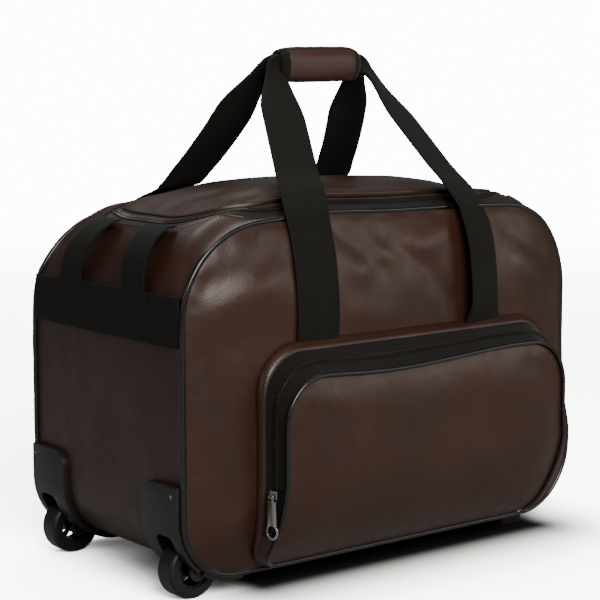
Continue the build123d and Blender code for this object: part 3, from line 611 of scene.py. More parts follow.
def top_point(a, y, lift=0.0, dome=True):
    """Point of the bag's top skin: a is the distance along the skin from the middle, to either side."""
    a, y = np.broadcast_arrays(np.asarray(a, float), np.asarray(y, float))
    side, reach = np.sign(a), np.abs(a)
    turn = np.clip((reach - SHOULDER) / TOP_R, 0, math.pi / 2)
    below = np.clip(reach - SHOULDER - TOP_R * math.pi / 2, 0, None)
    flat = np.minimum(reach, SHOULDER)
    high = edge_top(y)
    out = lift + (top_height(a, y) if dome else 0.0)
    x = side * (flat + TOP_R * np.sin(turn)) + side * out * np.sin(turn)
    z = high - TOP_R + TOP_R * np.cos(turn) - below + out * np.cos(turn)
    return np.stack([x, y, z], -1)


def top_normal(a, y, dome=True):
    step = 1.0
    da = top_point(a + step, y, dome=dome) - top_point(a - step, y, dome=dome)
    dy = top_point(a, y + step, dome=dome) - top_point(a, y - step, dome=dome)
    return unit(np.cross(da, dy))


ZIP_A = SHOULDER + TOP_R * math.asin((ZIP_X - SHOULDER) / TOP_R)


def zip_line(offset, count, rear=HINGE_Y):
    """The lid zip's line in skin coordinates, moved outwards, from rear left to rear right."""
    r = ZIP_R + offset
    left, front = ZIP_A + offset, ZIP_FRONT_Y - offset
    a = np.radians(np.linspace(180, 270, 40))
    corner_l = np.stack([-left + r + r * np.cos(a), front + r + r * np.sin(a)], -1)
    corner_r = corner_l[::-1] * (-1, 1)
    line = resample(np.vstack([[[-left, rear]], corner_l, corner_r, [[left, rear]]]), count)
    curl = np.where(line[:, 0] < 0, np.clip((line[:, 1] - 14) / 48, 0, 1.2), 0)
    line[:, 0] += 13 * curl**2
    return line


# ---------------------------------------------------------------- bag: gusset, panels, piping
def build_top_skin():
    """The bag's top skin, from the lid's opening out to the panels' and the ends' seams."""
    seam_a = SHOULDER + TOP_R * math.pi / 2 + 8
    rear = HINGE_Y + 3
    inner = zip_line(11.5, RING, rear)
    inner[:, 1] = np.clip(inner[:, 1], -GUSSET_Y + 2.2, None)
    back = np.stack([np.linspace(inner[-1, 0], inner[0, 0], 140)[1:-1], np.full(138, rear)], -1)
    loop = np.vstack([inner, back])
    share = np.maximum(np.abs(loop[:, 0]) / seam_a, np.abs(loop[:, 1]) / GUSSET_Y)[:, None]
    outer = loop / share
    v = np.array([0, 0.012, 0.03, 0.06, 0.1, 0.16, 0.24, 0.34, 0.46, 0.6, 0.72, 0.82, 0.9, 0.96, 1.0])
    plane = loop[:, None] + (outer - loop)[:, None] * v[None, :, None]
    a, y = plane[..., 0], plane[..., 1]
    points = top_point(a, y, 0.0, dome=False)
    normal = top_normal(a, y, dome=False)
    soft = ripple(points, 70, 1.2, 3.1) * smooth(v * 3)[None]
    soft += ripple(points, 26, 0.45, 9.7, (1, 0.6, 1)) * smooth(v * 4)[None] * smooth((1 - v) * 6)[None]
    soft += 2.0 * smooth(np.abs(a) / 320) * smooth((GUSSET_Y - np.abs(y)) / 60)
    rolled_edge = np.zeros(len(v))
    rolled_edge[:2] = (-1.4, 0.5)
    points = points + normal * (soft + rolled_edge)[..., None]
    shell = solid_sheet("top_skin", points, LEATHER, normal, plane * MM, close_rows=True)
    dress(shell, "bag", "faux_leather", "leather", "top_gusset")
    seam, lift = (np.vstack([grid[:, 3], grid[:1, 3]]) for grid in (points, normal))
    sew("top_skin_stitching", seam, lift)


def over_opening(face):
    """True for a face of the lower skin over a wheel's well or over a trolley tube's hole."""
    x, y, z = (np.array(face.calc_center_median()) - CENTRE) / MM
    wheel_well = x < -192.5 and 90.5 < abs(y) < 127.5 and z < 60
    tube_hole = x > 200 and 31 < abs(y) < 59 and z < 44
    return wheel_well or tube_hole


def build_lower_skin():
    """The strip from seam to seam down both ends and under the bag."""
    outline = rounded_outline(HALF, FLOOR_GAP, EDGE_TOP, TOP_R, BOTTOM_R, LOWER_RING)
    order = np.roll(np.arange(LOWER_RING), LOWER_RING // 2)
    order = order[outline[order, 1] <= 268.5]
    strip, away = outline[order], outward(outline)[order]
    across = np.linspace(-GUSSET_Y, GUSSET_Y, 61)
    points, normal = np.zeros((2, len(strip), 61, 3))
    points[..., 0], points[..., 2] = strip[:, :1], strip[:, 1:]
    points[..., 1] = across
    normal[..., 0], normal[..., 2] = away[:, :1], away[:, 1:]
    tuck = smooth((GUSSET_Y - np.abs(across)) / 16)[None]
    flat_side = smooth((strip[:, 1:] - 40) / 60)
    soft = (2.6 * tuck * (1 - (across / GUSSET_Y) ** 2)[None] - 0.6) * flat_side
    soft = soft + ripple(points, 85, 1.6, 5.5) * tuck * flat_side
    soft = soft + ripple(points, 30, 0.5, 1.7, (1, 1, 0.5)) * tuck * flat_side
    points = points + normal * soft[..., None]
    skin = solid_sheet("lower_skin", points, LEATHER, normal, grid_uv(arc_length(strip), across))
    with editing(skin.data) as bm:
        bmesh.ops.delete(bm, geom=[f for f in bm.faces if over_opening(f)], context="FACES")
    dress(skin, "bag", "faux_leather", "leather", "lower_gusset")
    seam = np.stack([np.full(80, HALF + 1.2), np.linspace(-124, 124, 80), np.full(80, 264.0)], -1)
    sew("end_seam_stitching", seam, (1, 0, 0))


FRONT_FOLDS = [
    (-232, 300, -150, 322, 12, -2.2), (-225, 268, -165, 300, 16, 2.0), (-215, 240, -150, 262, 18, -1.6),
    (-75, 336, -20, 300, 10, -2.4), (-60, 300, 10, 322, 13, 2.2), (-20, 330, 40, 298, 10, -2.6),
    (20, 312, 70, 332, 12, 2.0), (40, 290, 75, 262, 12, -1.6), (-70, 262, -10, 250, 16, 1.4),
    (150, 330, 215, 300, 12, -1.8), (160, 300, 225, 262, 16, 1.8), (190, 240, 232, 210, 16, -1.6),
    (-235, 150, -205, 90, 14, -1.2), (205, 150, 238, 100, 14, -1.2), (-160, 335, -120, 300, 9, -1.2),
]
BACK_FOLDS = [
    (-210, 290, -130, 318, 18, -1.8), (-60, 320, 30, 300, 16, -1.8), (60, 300, 150, 326, 18, 1.6),
    (-200, 200, -60, 180, 30, 1.5), (20, 150, 180, 120, 34, -1.6), (-150, 90, -40, 70, 26, 1.4),
    (150, 240, 220, 200, 22, -1.6),
]


def panel_depth(reach, run=96.0):
    """How far a panel stands out, by distance in from its edge."""
    t = np.clip(reach / run, 0, 1)
    return BULGE * (1 - (1 - t) ** 2.3)


def edge_distance(points, outline):
    """Distance of each point from the nearest place on an outline."""
    step = np.roll(outline, -1, 0) - outline
    t = np.sum((points[:, None] - outline) * step, -1) / np.maximum(np.sum(step**2, -1), 1e-9)
    near = outline + step * np.clip(t, 0, 1)[..., None]
    return np.linalg.norm(points[:, None] - near, axis=-1).min(1)


def panel_mesh(outline, insets, spacing):
    """Flat panel filling an outline: close rings along the edge, an even net inside.

    Gives the points as (x, z), the faces, and each point's distance in from the edge."""
    away = outward(outline)
    rings = np.stack([outline - away * inset for inset in insets], 1)
    count, rows = rings.shape[:2]
    faces = grid_faces(count, rows, close_rows=True)
    loop = rings[:, -1]
    low, high = loop.min(0), loop.max(0)
    across = np.arange(low[0] + spacing / 2, high[0], spacing)
    up = np.arange(low[1] + spacing / 2, high[1], spacing * 0.87)
    net = np.stack(np.meshgrid(across, up, indexing="ij"), -1)
    net[:, 1::2, 0] += spacing / 2
    net = net.reshape(-1, 2)
    a, b = loop, np.roll(loop, -1, 0)
    crosses = (a[None, :, 1] > net[:, None, 1]) != (b[None, :, 1] > net[:, None, 1])
    at = a[None, :, 0] + (net[:, None, 1] - a[None, :, 1]) * (b - a)[None, :, 0] / (
        np.where(np.abs((b - a)[:, 1]) < 1e-9, 1e-9, (b - a)[:, 1])[None])
    inside = (crosses & (net[:, None, 0] < at)).sum(1) % 2 == 1
    net = net[inside]
    net = net[edge_distance(net, outline) > insets[-1] + spacing * 0.45]
    every = [Vector(p) for p in np.vstack([loop, net]).tolist()]
    _, _, triangles, origin, _, _ = delaunay_2d_cdt(every, [], [list(range(count))], 1, 1e-4)
    base = len(rings.reshape(-1, 2))
    index_of = [rows * k + rows - 1 for k in range(count)] + [base + k for k in range(len(net))]
    faces += [[index_of[origin[v][0]] for v in t] for t in triangles]
    points = np.vstack([rings.reshape(-1, 2), net])
    return points, faces, np.concatenate([np.tile(insets, count), edge_distance(net, outline)])


EDGE_RINGS = np.array([0, 1.2, 2.6, 4.2, 6.2, 8.8, 12, 16, 20, 25])


def build_panel(name, side, folds, node, seed):
    outline = rounded_outline(HALF, FLOOR_GAP, EDGE_TOP, TOP_R, BOTTOM_R, RING)
    plane, faces, reach = panel_mesh(outline, EDGE_RINGS, 5.4)
    x, z = plane.T
    flat = np.stack([x, np.zeros_like(x), z], -1)
    inner = smooth(reach / 45)
    depth = panel_depth(reach)
    depth += ripple(flat, 120, 2.4, seed) * inner + ripple(flat, 52, 0.8, seed + 4, (1, 1, 0.7)) * inner
    depth += creases(x, z, folds) * smooth(reach / 16)
    tight = smooth(reach / 5) * smooth((30 - reach) / 26)
    depth += ripple(flat, 13, 0.55, seed + 8) * tight
    points = np.stack([x, side * (PANEL_Y - 1.2 + depth), z], -1)
    panel = mesh_object(name, points, faces, plane * MM)
    solidify(panel, LEATHER, side)
    return dress(panel, "bag", "faux_leather", "leather", node)


def solidify(obj, thick, side=-1):
    """Gives a sheet thickness on the side away from its outer face."""
    with editing(obj.data) as bm:
        bmesh.ops.recalc_face_normals(bm, faces=bm.faces)
        mean = sum((f.normal * f.calc_area() for f in bm.faces), Vector())
        if mean.y * side < 0:
            bmesh.ops.reverse_faces(bm, faces=bm.faces)
    modifier = obj.modifiers.new("thickness", "SOLIDIFY")
    modifier.thickness, modifier.offset = thick * MM, -1
    apply_modifiers(obj)


def apply_modifiers(obj):
    graph = bpy.context.evaluated_depsgraph_get()
    mesh = bpy.data.meshes.new_from_object(obj.evaluated_get(graph), depsgraph=graph)
    obj.modifiers.clear()
    obj.data = mesh


def build_piping():
    count = 460
    outline = rounded_outline(HALF - 0.2, FLOOR_GAP + 0.2, EDGE_TOP - 0.2, TOP_R, BOTTOM_R, count)
    out = outward(outline)
    away = np.stack([out[:, 0], 0 * out[:, 0], out[:, 1]], -1)
    step = np.arange(count)
    uneven = 0.25 * np.sin(step * 0.55) + 0.2 * np.sin(step * 0.23 + 1)
    for side, name in ((-1, "front_piping"), (1, "back_piping")):
        path = np.stack([outline[:, 0], np.full(count, side * 131.4), outline[:, 1]], -1)
        path += away * (0.6 + uneven * 0.4)[:, None]
        cord = tube(name + "_cord", path, PIPING_RADIUS, (0, 1, 0), closed=True, sides=14)
        dress(cord, "bag", "piping", "piping", name)
        lip = sweep(name + "_flange", path - away * 3.0, away, (0, 1, 0),
                    [(-3, -1.9), (2, -1.9), (2, 1.9), (-3, 1.9)], closed=True)
        dress(lip, "bag", "piping", "piping")


# ---------------------------------------------------------------- lid and its zip
def build_lid():
    """The lid as one soft sheet that reaches back to the hinge, where it is one piece with the bag's skin.
    """
    rows = 56
    rear = HINGE_Y + 10
    edge = zip_line(-7.4, RING, rear)
    spine = np.stack([edge[:, 0] * 0.62, np.full(RING, rear)], -1)
    v = np.concatenate([[0, 0.006, 0.014, 0.03], np.linspace(0.045, 1, rows - 4)])
    plane = edge[:, None] + (spine - edge)[:, None] * v[None, :, None]
    a, y = plane[..., 0], plane[..., 1]
    points = top_point(a, y)
    normal = top_normal(a, y)
    reach = smooth(v * 7)[None] * smooth((HINGE_Y + 4 - y) / 40)
    soft = (ripple(points, 75, 2.4, 21.3) + ripple(points, 30, 0.9, 31.1, (0.7, 1, 1))) * reach
    soft += creases(a, y, LID_FOLDS) * reach
    soft += np.array([-1.4, 0.5] + [0.0] * (rows - 2))[None] * smooth((HINGE_Y + 6 - y) / 30)
    soft -= 3.0 * smooth((y - HINGE_Y + 5) / 7)
    points = points + normal * soft[..., None]
    lid = weld(solid_sheet("lid_leather", points, LEATHER, normal, plane * MM))
    dress_bending(lid, "lid", "faux_leather", "leather", (HINGE_Y + 7, CROWN_TOP),
                  (HINGE_Y - 9, CROWN_TOP), "lid_panel")
    sew("lid_stitching", points[6:-6, 3], normal[6:-6, 3], body="lid")


def tape(name, inside, outside, body, rear, *replaced, tail=0):
    """A woven zip tape between two offsets of the lid zip's line.

    With tail -1 or 1 it is only the sewn end at the rear left or right."""
    across = np.linspace(inside, outside, TAPE_COLUMNS)
    plane = np.stack([zip_line(offset, ZIP_STATIONS, rear) for offset in across], 1)
    if tail:
        station = np.arange(ZIP_STATIONS)
        half = station > ZIP_STATIONS // 2 if tail > 0 else station < ZIP_STATIONS // 2
        plane = plane[(plane[:, 3, 1] > TAIL_Y + 0.6) & half]
    points = top_point(plane[..., 0], plane[..., 1], -1.0, dome=False)
    normal = top_normal(plane[..., 0], plane[..., 1], dome=False)
    obj = solid_sheet(name, points, TAPE, normal, grid_uv(arc_length(plane[:, 3]), across))
    dress(obj, body, "zip_tape", "tape", *replaced)


TOOTH = [(-0.75, 0, -1.3), (0.75, 0, -1.3), (0.75, 3.0, -1.3), (-0.75, 3.0, -1.3),
         (-0.75, 0, 0.3), (0.75, 0, 0.3), (0.75, 3.0, 0.3), (-0.75, 3.0, 0.3),
         (-0.4, 0.35, 0.75), (0.4, 0.35, 0.75), (0.4, 2.4, 0.75), (-0.4, 2.4, 0.75)]
TOOTH_FACES = [(3, 2, 1, 0), (0, 1, 5, 4), (1, 2, 6, 5), (2, 3, 7, 6), (3, 0, 4, 7),
               (4, 5, 9, 8), (5, 6, 10, 9), (6, 7, 11, 10), (7, 4, 8, 11), (8, 9, 10, 11)]


def coil(name, path, normal, side, body, *replaced, pitch=2.1, phase=0.0, clear=0.25):
    """A row of nylon coil teeth along a path, lying to one side of it."""
    path, normal = np.asarray(path, float), np.asarray(normal, float)
    s = arc_length(path)
    at = np.arange(pitch * (0.5 + phase), s[-1] - 0.5, pitch)
    spot = read_along(path, s, at)
    up = unit(read_along(normal, s, at))
    run = unit(read_along(tangents(path), s, at))
    off = unit(np.cross(up, run)) * side
    faces = TOOTH_FACES if side > 0 else [f[::-1] for f in TOOTH_FACES]
    obj = stamp(name, TOOTH, faces, spot + off * clear, run, off, up)
    dress(obj, body, "zip_teeth", "coil", *replaced)


def build_lid_zip():
    """Tapes and teeth of the lid's zip, and the sewn ends its lid half leaves on the bag."""
    tape("bag_zip_tape", 2.2, 13.5, "bag", HINGE_Y + 4, "main_zip_tape_outer")
    tape("lid_tape", -2.2, -9.5, "lid", TAIL_Y, "lid_zip_tape")
    tape("tail_tape_left", -2.2, -9.2, "bag", HINGE_Y + 4, tail=-1)
    tape("tail_tape_right", -2.2, -9.2, "bag", HINGE_Y + 4, "main_zip_tail_tapes", tail=1)
    line = zip_line(0, 1200)
    path = top_point(line[:, 0], line[:, 1], -0.4, dome=False)
    normal = top_normal(line[:, 0], line[:, 1], dome=False)
    coil("bag_zip_coil", path, normal, -1, "bag", "main_zip_teeth_outer")
    short = line[:, 1] < TAIL_Y
    coil("lid_zip_coil", path[short], normal[short], 1, "lid", "lid_zip_teeth", phase=0.5)
    for side, name, nodes in ((-1, "left", ()), (1, "right", ("main_zip_tail_teeth",))):
        ends = (line[:, 1] > TAIL_Y + 1) & (np.sign(line[:, 0]) == side)
        coil(f"tail_coil_{name}", path[ends], normal[ends], 1, "bag", *nodes, phase=0.5)


# ---------------------------------------------------------------- pocket
def pocket_shape(share, inset=0.0):
    """Size of the pocket's outline at a share of its depth, as rounded_outline takes it."""
    lean = max(share, 0.0)
    half, high = 190 - 8 * lean - inset, 240 - 26 * lean - inset
    return half, 26 + inset, high, 45 - inset, 22 - inset


def slope_back(points):
    """The pocket's front tapers back to the bag's bottom seam, below the fold of its flap."""
    points = np.array(points, float)
    y, z = points[..., 1], points[..., 2]
    base = PANEL_Y - 1.2 + panel_depth(np.maximum(z - FLOOR_GAP, 0))
    t = np.clip((z - 26) / 92, 0, 1)
    share = 0.17 + 0.83 * (1 - (1 - t) ** 1.5)
    points[..., 1] = np.where(-y > base, -(base + (-y - base) * share), y)
    points[..., 0] -= 8.0 * smooth((points[..., 0] - 120) / 80) * smooth((125 - z) / 85)
    return points


def pocket_rings(shares, insets, count=POCKET_RING):
    """Closed rings of the pocket's side wall at shares of its depth."""
    rings = []
    for share, inset in zip(shares, insets):
        outline = rounded_outline(*pocket_shape(share, inset), count)
        rings.append(np.stack([outline[:, 0] + POCKET_X, np.full(count, -(FACE_BASE + POCKET_DEPTH * share)),
                               outline[:, 1]], -1))
    return slope_back(np.stack(rings, 1))


def ring_uv(points):
    return grid_uv(arc_length(points[:, 0]), arc_length(points[0]))


def grid_normals(points, closed=True):
    du = np.roll(points, -1, 0) - np.roll(points, 1, 0) if closed else np.gradient(points, axis=0)
    dv = np.gradient(points, axis=1)
    return unit(np.cross(dv, du))


def face_outward(points, normal, inside):
    """The normals, turned round where needed to point away from a place inside."""
    return normal * np.sign(np.mean(np.sum((points - inside) * normal, -1)))


def pocket_sheet(name, shares, insets, low, high, body, slot, material, *replaced, thick=TAPE):
    """A strip of the pocket's wall between two heights, in one run or as a piece a and a piece b."""
    rings = pocket_rings(shares, insets)
    z = rings[:, 0, 2]
    index = np.where((z >= low) & (z <= high))[0]
    runs = np.split(index, np.where(np.diff(index) > 1)[0] + 1)
    pieces = [rings[run] for run in runs if len(run) > 1]
    for k, part in enumerate(pieces):
        tag = name if len(pieces) == 1 else f"{name}_{'ab'[k]}"
        normal = face_outward(part, grid_normals(part, closed=False), (POCKET_X, part[0, 0, 1], 130))
        obj = solid_sheet(tag, part, thick, normal, ring_uv(part))
        dress(obj, body, slot, material, *(replaced if k == 0 else ()))


def build_pocket():
    """The pocket's side wall, the sill its zip is sewn to, both tapes and teeth, and its front."""
    strip = pocket_rings([-0.46, -0.2, 0.0, 0.07, 0.13, 0.18, 0.2, 0.205],
                         [0, -1.0, -1.8, -2.2, -2.0, -1.3, -0.2, 1.4])
    normal = face_outward(strip, grid_normals(strip), (POCKET_X, -170, 130))
    strip = strip + normal * ripple(strip, 30, 0.5, 14.0)[..., None]
    shell = solid_sheet("pocket_side", strip, 2.2, normal, ring_uv(strip), close_rows=True)
    dress(shell, "bag", "faux_leather", "leather", "pocket_gusset")
    seam = pocket_rings([0.165], [-1.9])[:, 0]
    out = outward(seam[:, (0, 2)])
    sew("pocket_side_stitching", seam, np.stack([out[:, 0], 0 * out[:, 0], out[:, 1]], -1))

    pocket_sheet("pocket_sill", [0.19, 0.34, 0.52, 0.64, 0.76, 0.9], [-0.4, -0.6, -0.8, -0.8, -0.6, 0.2],
                 20, POCKET_ZIP_END + 3, "bag", "faux_leather", "leather", thick=2.0)
    inner, outer = POCKET_ZIP + 0.055, POCKET_ZIP - 0.055
    pocket_sheet("pocket_tape_back", [0.19, 0.32, outer], [1.0, 1.3, 0.9], POCKET_ZIP_END, math.inf,
                 "bag", "zip_tape", "tape", "pocket_zip_tape_outer")
    for name, low, high, body, node in (
        ("pocket_tape_low", POCKET_ZIP_END, 108.0, "bag", "pocket_tail_zip_tape"),
        ("pocket_tape_flap", 108.4, math.inf, "pocket_flap", "pocket_flap_zip_tape"),
    ):
        pocket_sheet(name, [inner, 0.7, 0.8, 0.92], [1.1, 1.6, 1.6, 1.3], low, high, body, "zip_tape",
                     "tape", node)
    line = pocket_rings([POCKET_ZIP], [0.6], 2400)[:, 0]
    out = outward(line[:, (0, 2)])
    out = unit(np.stack([out[:, 0], np.full(len(out), -0.2), out[:, 1]], -1))
    z, side = line[:, 2], np.sign(line[:, 0] - POCKET_X)
    tail = (z > POCKET_ZIP_END) & (z < 107.8)
    for name, keep, turn, body, nodes, phase in (
        ("back", z > POCKET_ZIP_END, 1, "bag", ("pocket_zip_teeth_outer",), 0.0),
        ("flap", z > 108.6, -1, "pocket_flap", ("pocket_flap_zip_teeth",), 0.5),
        ("tail_left", tail & (side < 0), -1, "bag", ("pocket_tail_zip_teeth",), 0.5),
        ("tail_right", tail & (side > 0), -1, "bag", (), 0.5),
    ):
        coil(f"pocket_coil_{name}", line[keep], out[keep], turn, body, *nodes, phase=phase)


FACE_FOLDS = [
    (-172, 190, -120, 168, 12, -1.0), (120, 200, 176, 178, 14, -1.4), (80, 176, 165, 140, 20, 1.2),
    (-170, 70, -90, 55, 18, -0.8), (100, 60, 172, 84, 16, -1.0),
]


def build_pocket_face():
    """Front of the pocket: one crowned sheet, with its piping."""
    outline = rounded_outline(*pocket_shape(1.0, -0.9), RING)
    plane, faces, reach = panel_mesh(outline, EDGE_RINGS[:7], 4.6)
    x, z = plane.T
    flat = np.stack([x, np.zeros_like(x), z], -1)
    inner = smooth(reach / 30)
    depth = 6.4 * (1 - (1 - np.clip(reach / 46, 0, 1)) ** 2.4)
    depth += (ripple(flat, 95, 1.4, 41) + ripple(flat, 40, 0.4, 45)) * inner
    depth += creases(x, z, FACE_FOLDS) * inner
    depth += ripple(flat, 11, 0.4, 47) * smooth(reach / 4) * smooth((22 - reach) / 18)
    points = slope_back(np.stack([x + POCKET_X, -(FACE_Y - 3.6 + depth), z], -1))
    face = mesh_object("pocket_face", points, faces, plane * MM)
    solidify(face, 2.4)
    fold = [(-(FACE_Y + 3.2), z) for z in (FLAP_Z - 7, FLAP_Z + 7)]
    dress_bending(face, "pocket_flap", "faux_leather", "leather", *fold,
                  "pocket_front_lower", "pocket_front_flap")

    outline = rounded_outline(*pocket_shape(0.97, -0.9), POCKET_RING)
    path = np.stack([outline[:, 0] + POCKET_X, np.full(POCKET_RING, -(FACE_Y - 1.4)), outline[:, 1]], -1)
    cord = tube("pocket_piping", slope_back(path), POCKET_PIPING_RADIUS, (0, 1, 0), closed=True)
    dress_bending(cord, "pocket_flap", "piping", "piping", *fold,
                  "pocket_piping_lower", "pocket_piping_flap")


# ---------------------------------------------------------------- webbing
def panel_surface(z):
    """Distance of a panel's face from the mid plane at a height above the pocket."""
    return PANEL_Y - 1.2 + panel_depth(EDGE_TOP - z)


def handle_path(side, end, low):
    """A strap from low on its panel, over the panel's top edge and up into the grip."""
    lift = 6.0 if (side, end) == (-1, 1) else 1.6
    stations = [(low, 0.0), (240, 0.4 * lift), (262, lift), (290, lift), (315, lift), (333, 0.8 * lift),
                (344, 0.5 + 0.5 * lift)]
    points = [(end * STRAP_X, side * (panel_surface(z) + 1.5 + up), z) for z, up in stations]
    if side < 0:
        upper = [(134.8, 354.5), (119, 373), (92, 402), (66, 430), (41, 457)]
    else:
        upper = [(135.5, 354.5), (123, 361.5), (104, 367.5), (87, 374), (73, 391), (58, 411), (44, 433),
                 (31, 457)]
    for y, z in upper:
        share = (z - 355) / (GRIP_Z - 355) if z > 356 else 0.0
        x = end * (STRAP_X + (GRIP_HALF + 8 - STRAP_X) * share) + GRIP_X * share
        points.append((x, side * y, z))
    points += [(GRIP_X + end * h, side * y, z) for h, y, z in (
        (64, 16, 484), (59, 7, 493.5), (53, 3.2, 497.4), (44, 3.0, 498.0), (20, 3.0, 498.0))]
    return points


def build_handle(side, name, body, low, nodes):
    """Both straps of one handle, each sewn to the panel below and folded narrow in the grip."""
    fold_y = side * 139.4
    for end, tag in ((-1, "left"), (1, "right")):
        path = spline(handle_path(side, end, low), 170)
        along = tangents(path)
        z = path[:, 2]
        twist = np.zeros(len(path))
        if (side, end) == (-1, 1):
            degrees = 17 * smooth((z - 225) / 40) + 6 * smooth((z - 360) / 30) + 12 * smooth((z - 440) / 40)
            twist = np.radians(degrees)
        if (side, end) == (-1, -1):
            twist = np.radians(2 * smooth((z - 360) / 60))
        turn = smooth((np.abs(path[:, 0] - GRIP_X) - 50) / 16)[:, None]
        flat = np.stack([np.cos(twist), -side * np.sin(twist), 0 * twist], -1)
        want = flat * turn + np.array([0, 0, end * 1.0]) * (1 - turn)
        across = unit(want - along * np.sum(want * along, -1, keepdims=True))
        fold = smooth((z - 448) / 46)
        strap = sweep(f"{name}_{tag}", path, across, unit(np.cross(across, along)),
                      strap_profile(*HANDLE_STRAP), scale=np.stack([1 - 0.54 * fold, 1 + 0.75 * fold], -1))
        dress_bending(strap, body, "webbing", "webbing", (fold_y, HANDLE_Z - 7), (fold_y, HANDLE_Z + 7),
                      *(nodes if end < 0 else ()))
    core = np.stack([GRIP_X + np.linspace(-46, 46, 30), np.full(30, side * 3.0), np.full(30, GRIP_Z)], -1)
    middle = sweep(f"{name}_folded", core, (0, 0, 1), (0, 1, 0), strap_profile(*FOLDED_STRAP))
    dress(middle, body, "webbing", "webbing")


def build_rear_seams(low):
    """Stitching along both edges of the rear handle's webbing, where it is sewn to the back."""
    z = np.linspace(low + 4, 236, 60)
    for end, tag in ((-1, "left"), (1, "right")):
        for edge in (-21.5, 21.5):
            path = np.stack([np.full(60, end * STRAP_X + edge), panel_surface(z) + 2.75, z], -1)
            sew(f"rear_strap_seam_{tag}_{'in' if edge * end < 0 else 'out'}", path, (0, 1, 0), "webbing")


def build_grip():
    """Leather wrap round the handles' folded middle, with bound ends and a closing flap."""
    a = np.linspace(0, 2 * math.pi, 96, endpoint=False)
    squareness = 0.72
    y = GRIP_DEPTH * np.sign(np.cos(a)) * np.abs(np.cos(a)) ** squareness
    z = GRIP_HEIGHT * np.sign(np.sin(a)) * np.abs(np.sin(a)) ** squareness
    back = y > COVER_FROM_Y
    wrap = np.stack([y[~back], z[~back]], -1)
    flap = np.stack([np.maximum(y[back], 9.0), z[back]], -1)
    flap = flap[np.argsort(flap[:, 1])]
    ends = GRIP_HALF * np.sin(np.linspace(-math.pi / 2, math.pi / 2, 56))
    pad = 1 + 0.05 * (1 - (ends / GRIP_HALF) ** 4) - 0.3 * np.abs(ends / GRIP_HALF) ** 9
    for tag, ring, thick, body, node, edges in (
        ("wrap", wrap, 4.0, "front_handle", "grip_wrap", ("top", "low")),
        ("flap", flap, 3.2, "grip_cover", "grip_flap", ("low", "top")),
    ):
        points = np.zeros((len(ends), len(ring), 3))
        points[..., 0] = GRIP_X + ends[:, None]
        points[..., 1] = ring[None, :, 0] * pad[:, None]
        points[..., 2] = GRIP_Z + ring[None, :, 1] * pad[:, None]
        points[..., 2] += ripple(points, 18, 0.5, 71)
        normal = np.zeros_like(points)
        normal[..., 1], normal[..., 2] = points[..., 1], points[..., 2] - GRIP_Z
        normal = unit(normal * (1, 1, 0.8))
        if tag == "flap":
            normal[:] = (0, 1, 0)
        uv = grid_uv(ends, arc_length(ring))
        shell = solid_sheet(f"grip_{tag}_leather", points, thick, normal, uv)
        dress(shell, body, "faux_leather", "grip", node)
        strips = [("left", ends < BINDING - GRIP_HALF, slice(None)),
                  ("right", ends > GRIP_HALF - BINDING, slice(None))]
        if tag == "wrap":
            strips.append(("upper", slice(None), (ring[:, 1] > 0) & (ring[:, 0] > -8)))
        for which, rows, columns in strips:
            face = normal[rows][:, columns]
            part = solid_sheet(f"grip_{tag}_binding_{which}", points[rows][:, columns] + face * 0.9, 1.6,
                               face, uv[rows][:, columns])
            dress(part, body, "webbing", "binding")
        for column, which in zip((0, -1), edges):
            edge = np.stack([GRIP_X + ends, points[:, column, 1], points[:, column, 2]], -1)
            bead = sweep(f"grip_{tag}_edge_{which}", edge, (0, 1, 0), (0, 0, 1), round_profile(1.9, 10))
            dress(bead, body, "webbing", "binding")


def build_end_webbing():
    """The wide band round the wheeled end and its two raised loops."""
    y = np.linspace(-128.5, 128.5, BAND_STATIONS)
    x = -(HALF + 2.2 + 2.6 * smooth((GUSSET_Y - np.abs(y)) / 16) * (1 - (y / GUSSET_Y) ** 2))
    x -= ripple(np.stack([x, y, np.full(BAND_STATIONS, BAND_Z)], -1), 60, 0.8, 5.0)
    path = np.stack([x, y, np.full(BAND_STATIONS, BAND_Z)], -1)
    band = sweep("end_band_webbing", path, (0, 0, 1), (-1, 0, 0), strap_profile(*END_BAND))
    dress(band, "bag", "webbing", "webbing", "end_band")
    for z, tag in ((246.5, "low"), (287.5, "top")):
        line = np.stack([path[:, 0] - 1.3, y, np.full(BAND_STATIONS, z)], -1)
        sew(f"end_band_seam_{tag}", line, (-1, 0, 0), "webbing")
    for y0, lean, tag, nodes in ((-61, 0, "front", ("end_loops",)), (55, 1, "rear", ())):
        points = [(-253.5, y0, 262), (-254.6, y0 - lean, 276), (-256.2, y0 - 4 * lean, 292),
                  (-256.5, y0 - 9 * lean, 308), (-252.0, y0 - 15 * lean, 325),
                  (-241, y0 + 1 - 22 * lean, 340), (-228, y0 + 2 - 27 * lean, 348.5),
                  (-221, y0 + 3 - 29 * lean, 349.5)]
        path = spline(points, 60)
        along = tangents(path)
        across = unit((0, 1, 0) - along * along[:, 1:2])
        normal = unit(np.cross(along, across))
        strap = sweep(f"end_loop_{tag}", path, across, normal, strap_profile(*END_LOOP))
        dress(strap, "bag", "webbing", "webbing", *nodes)


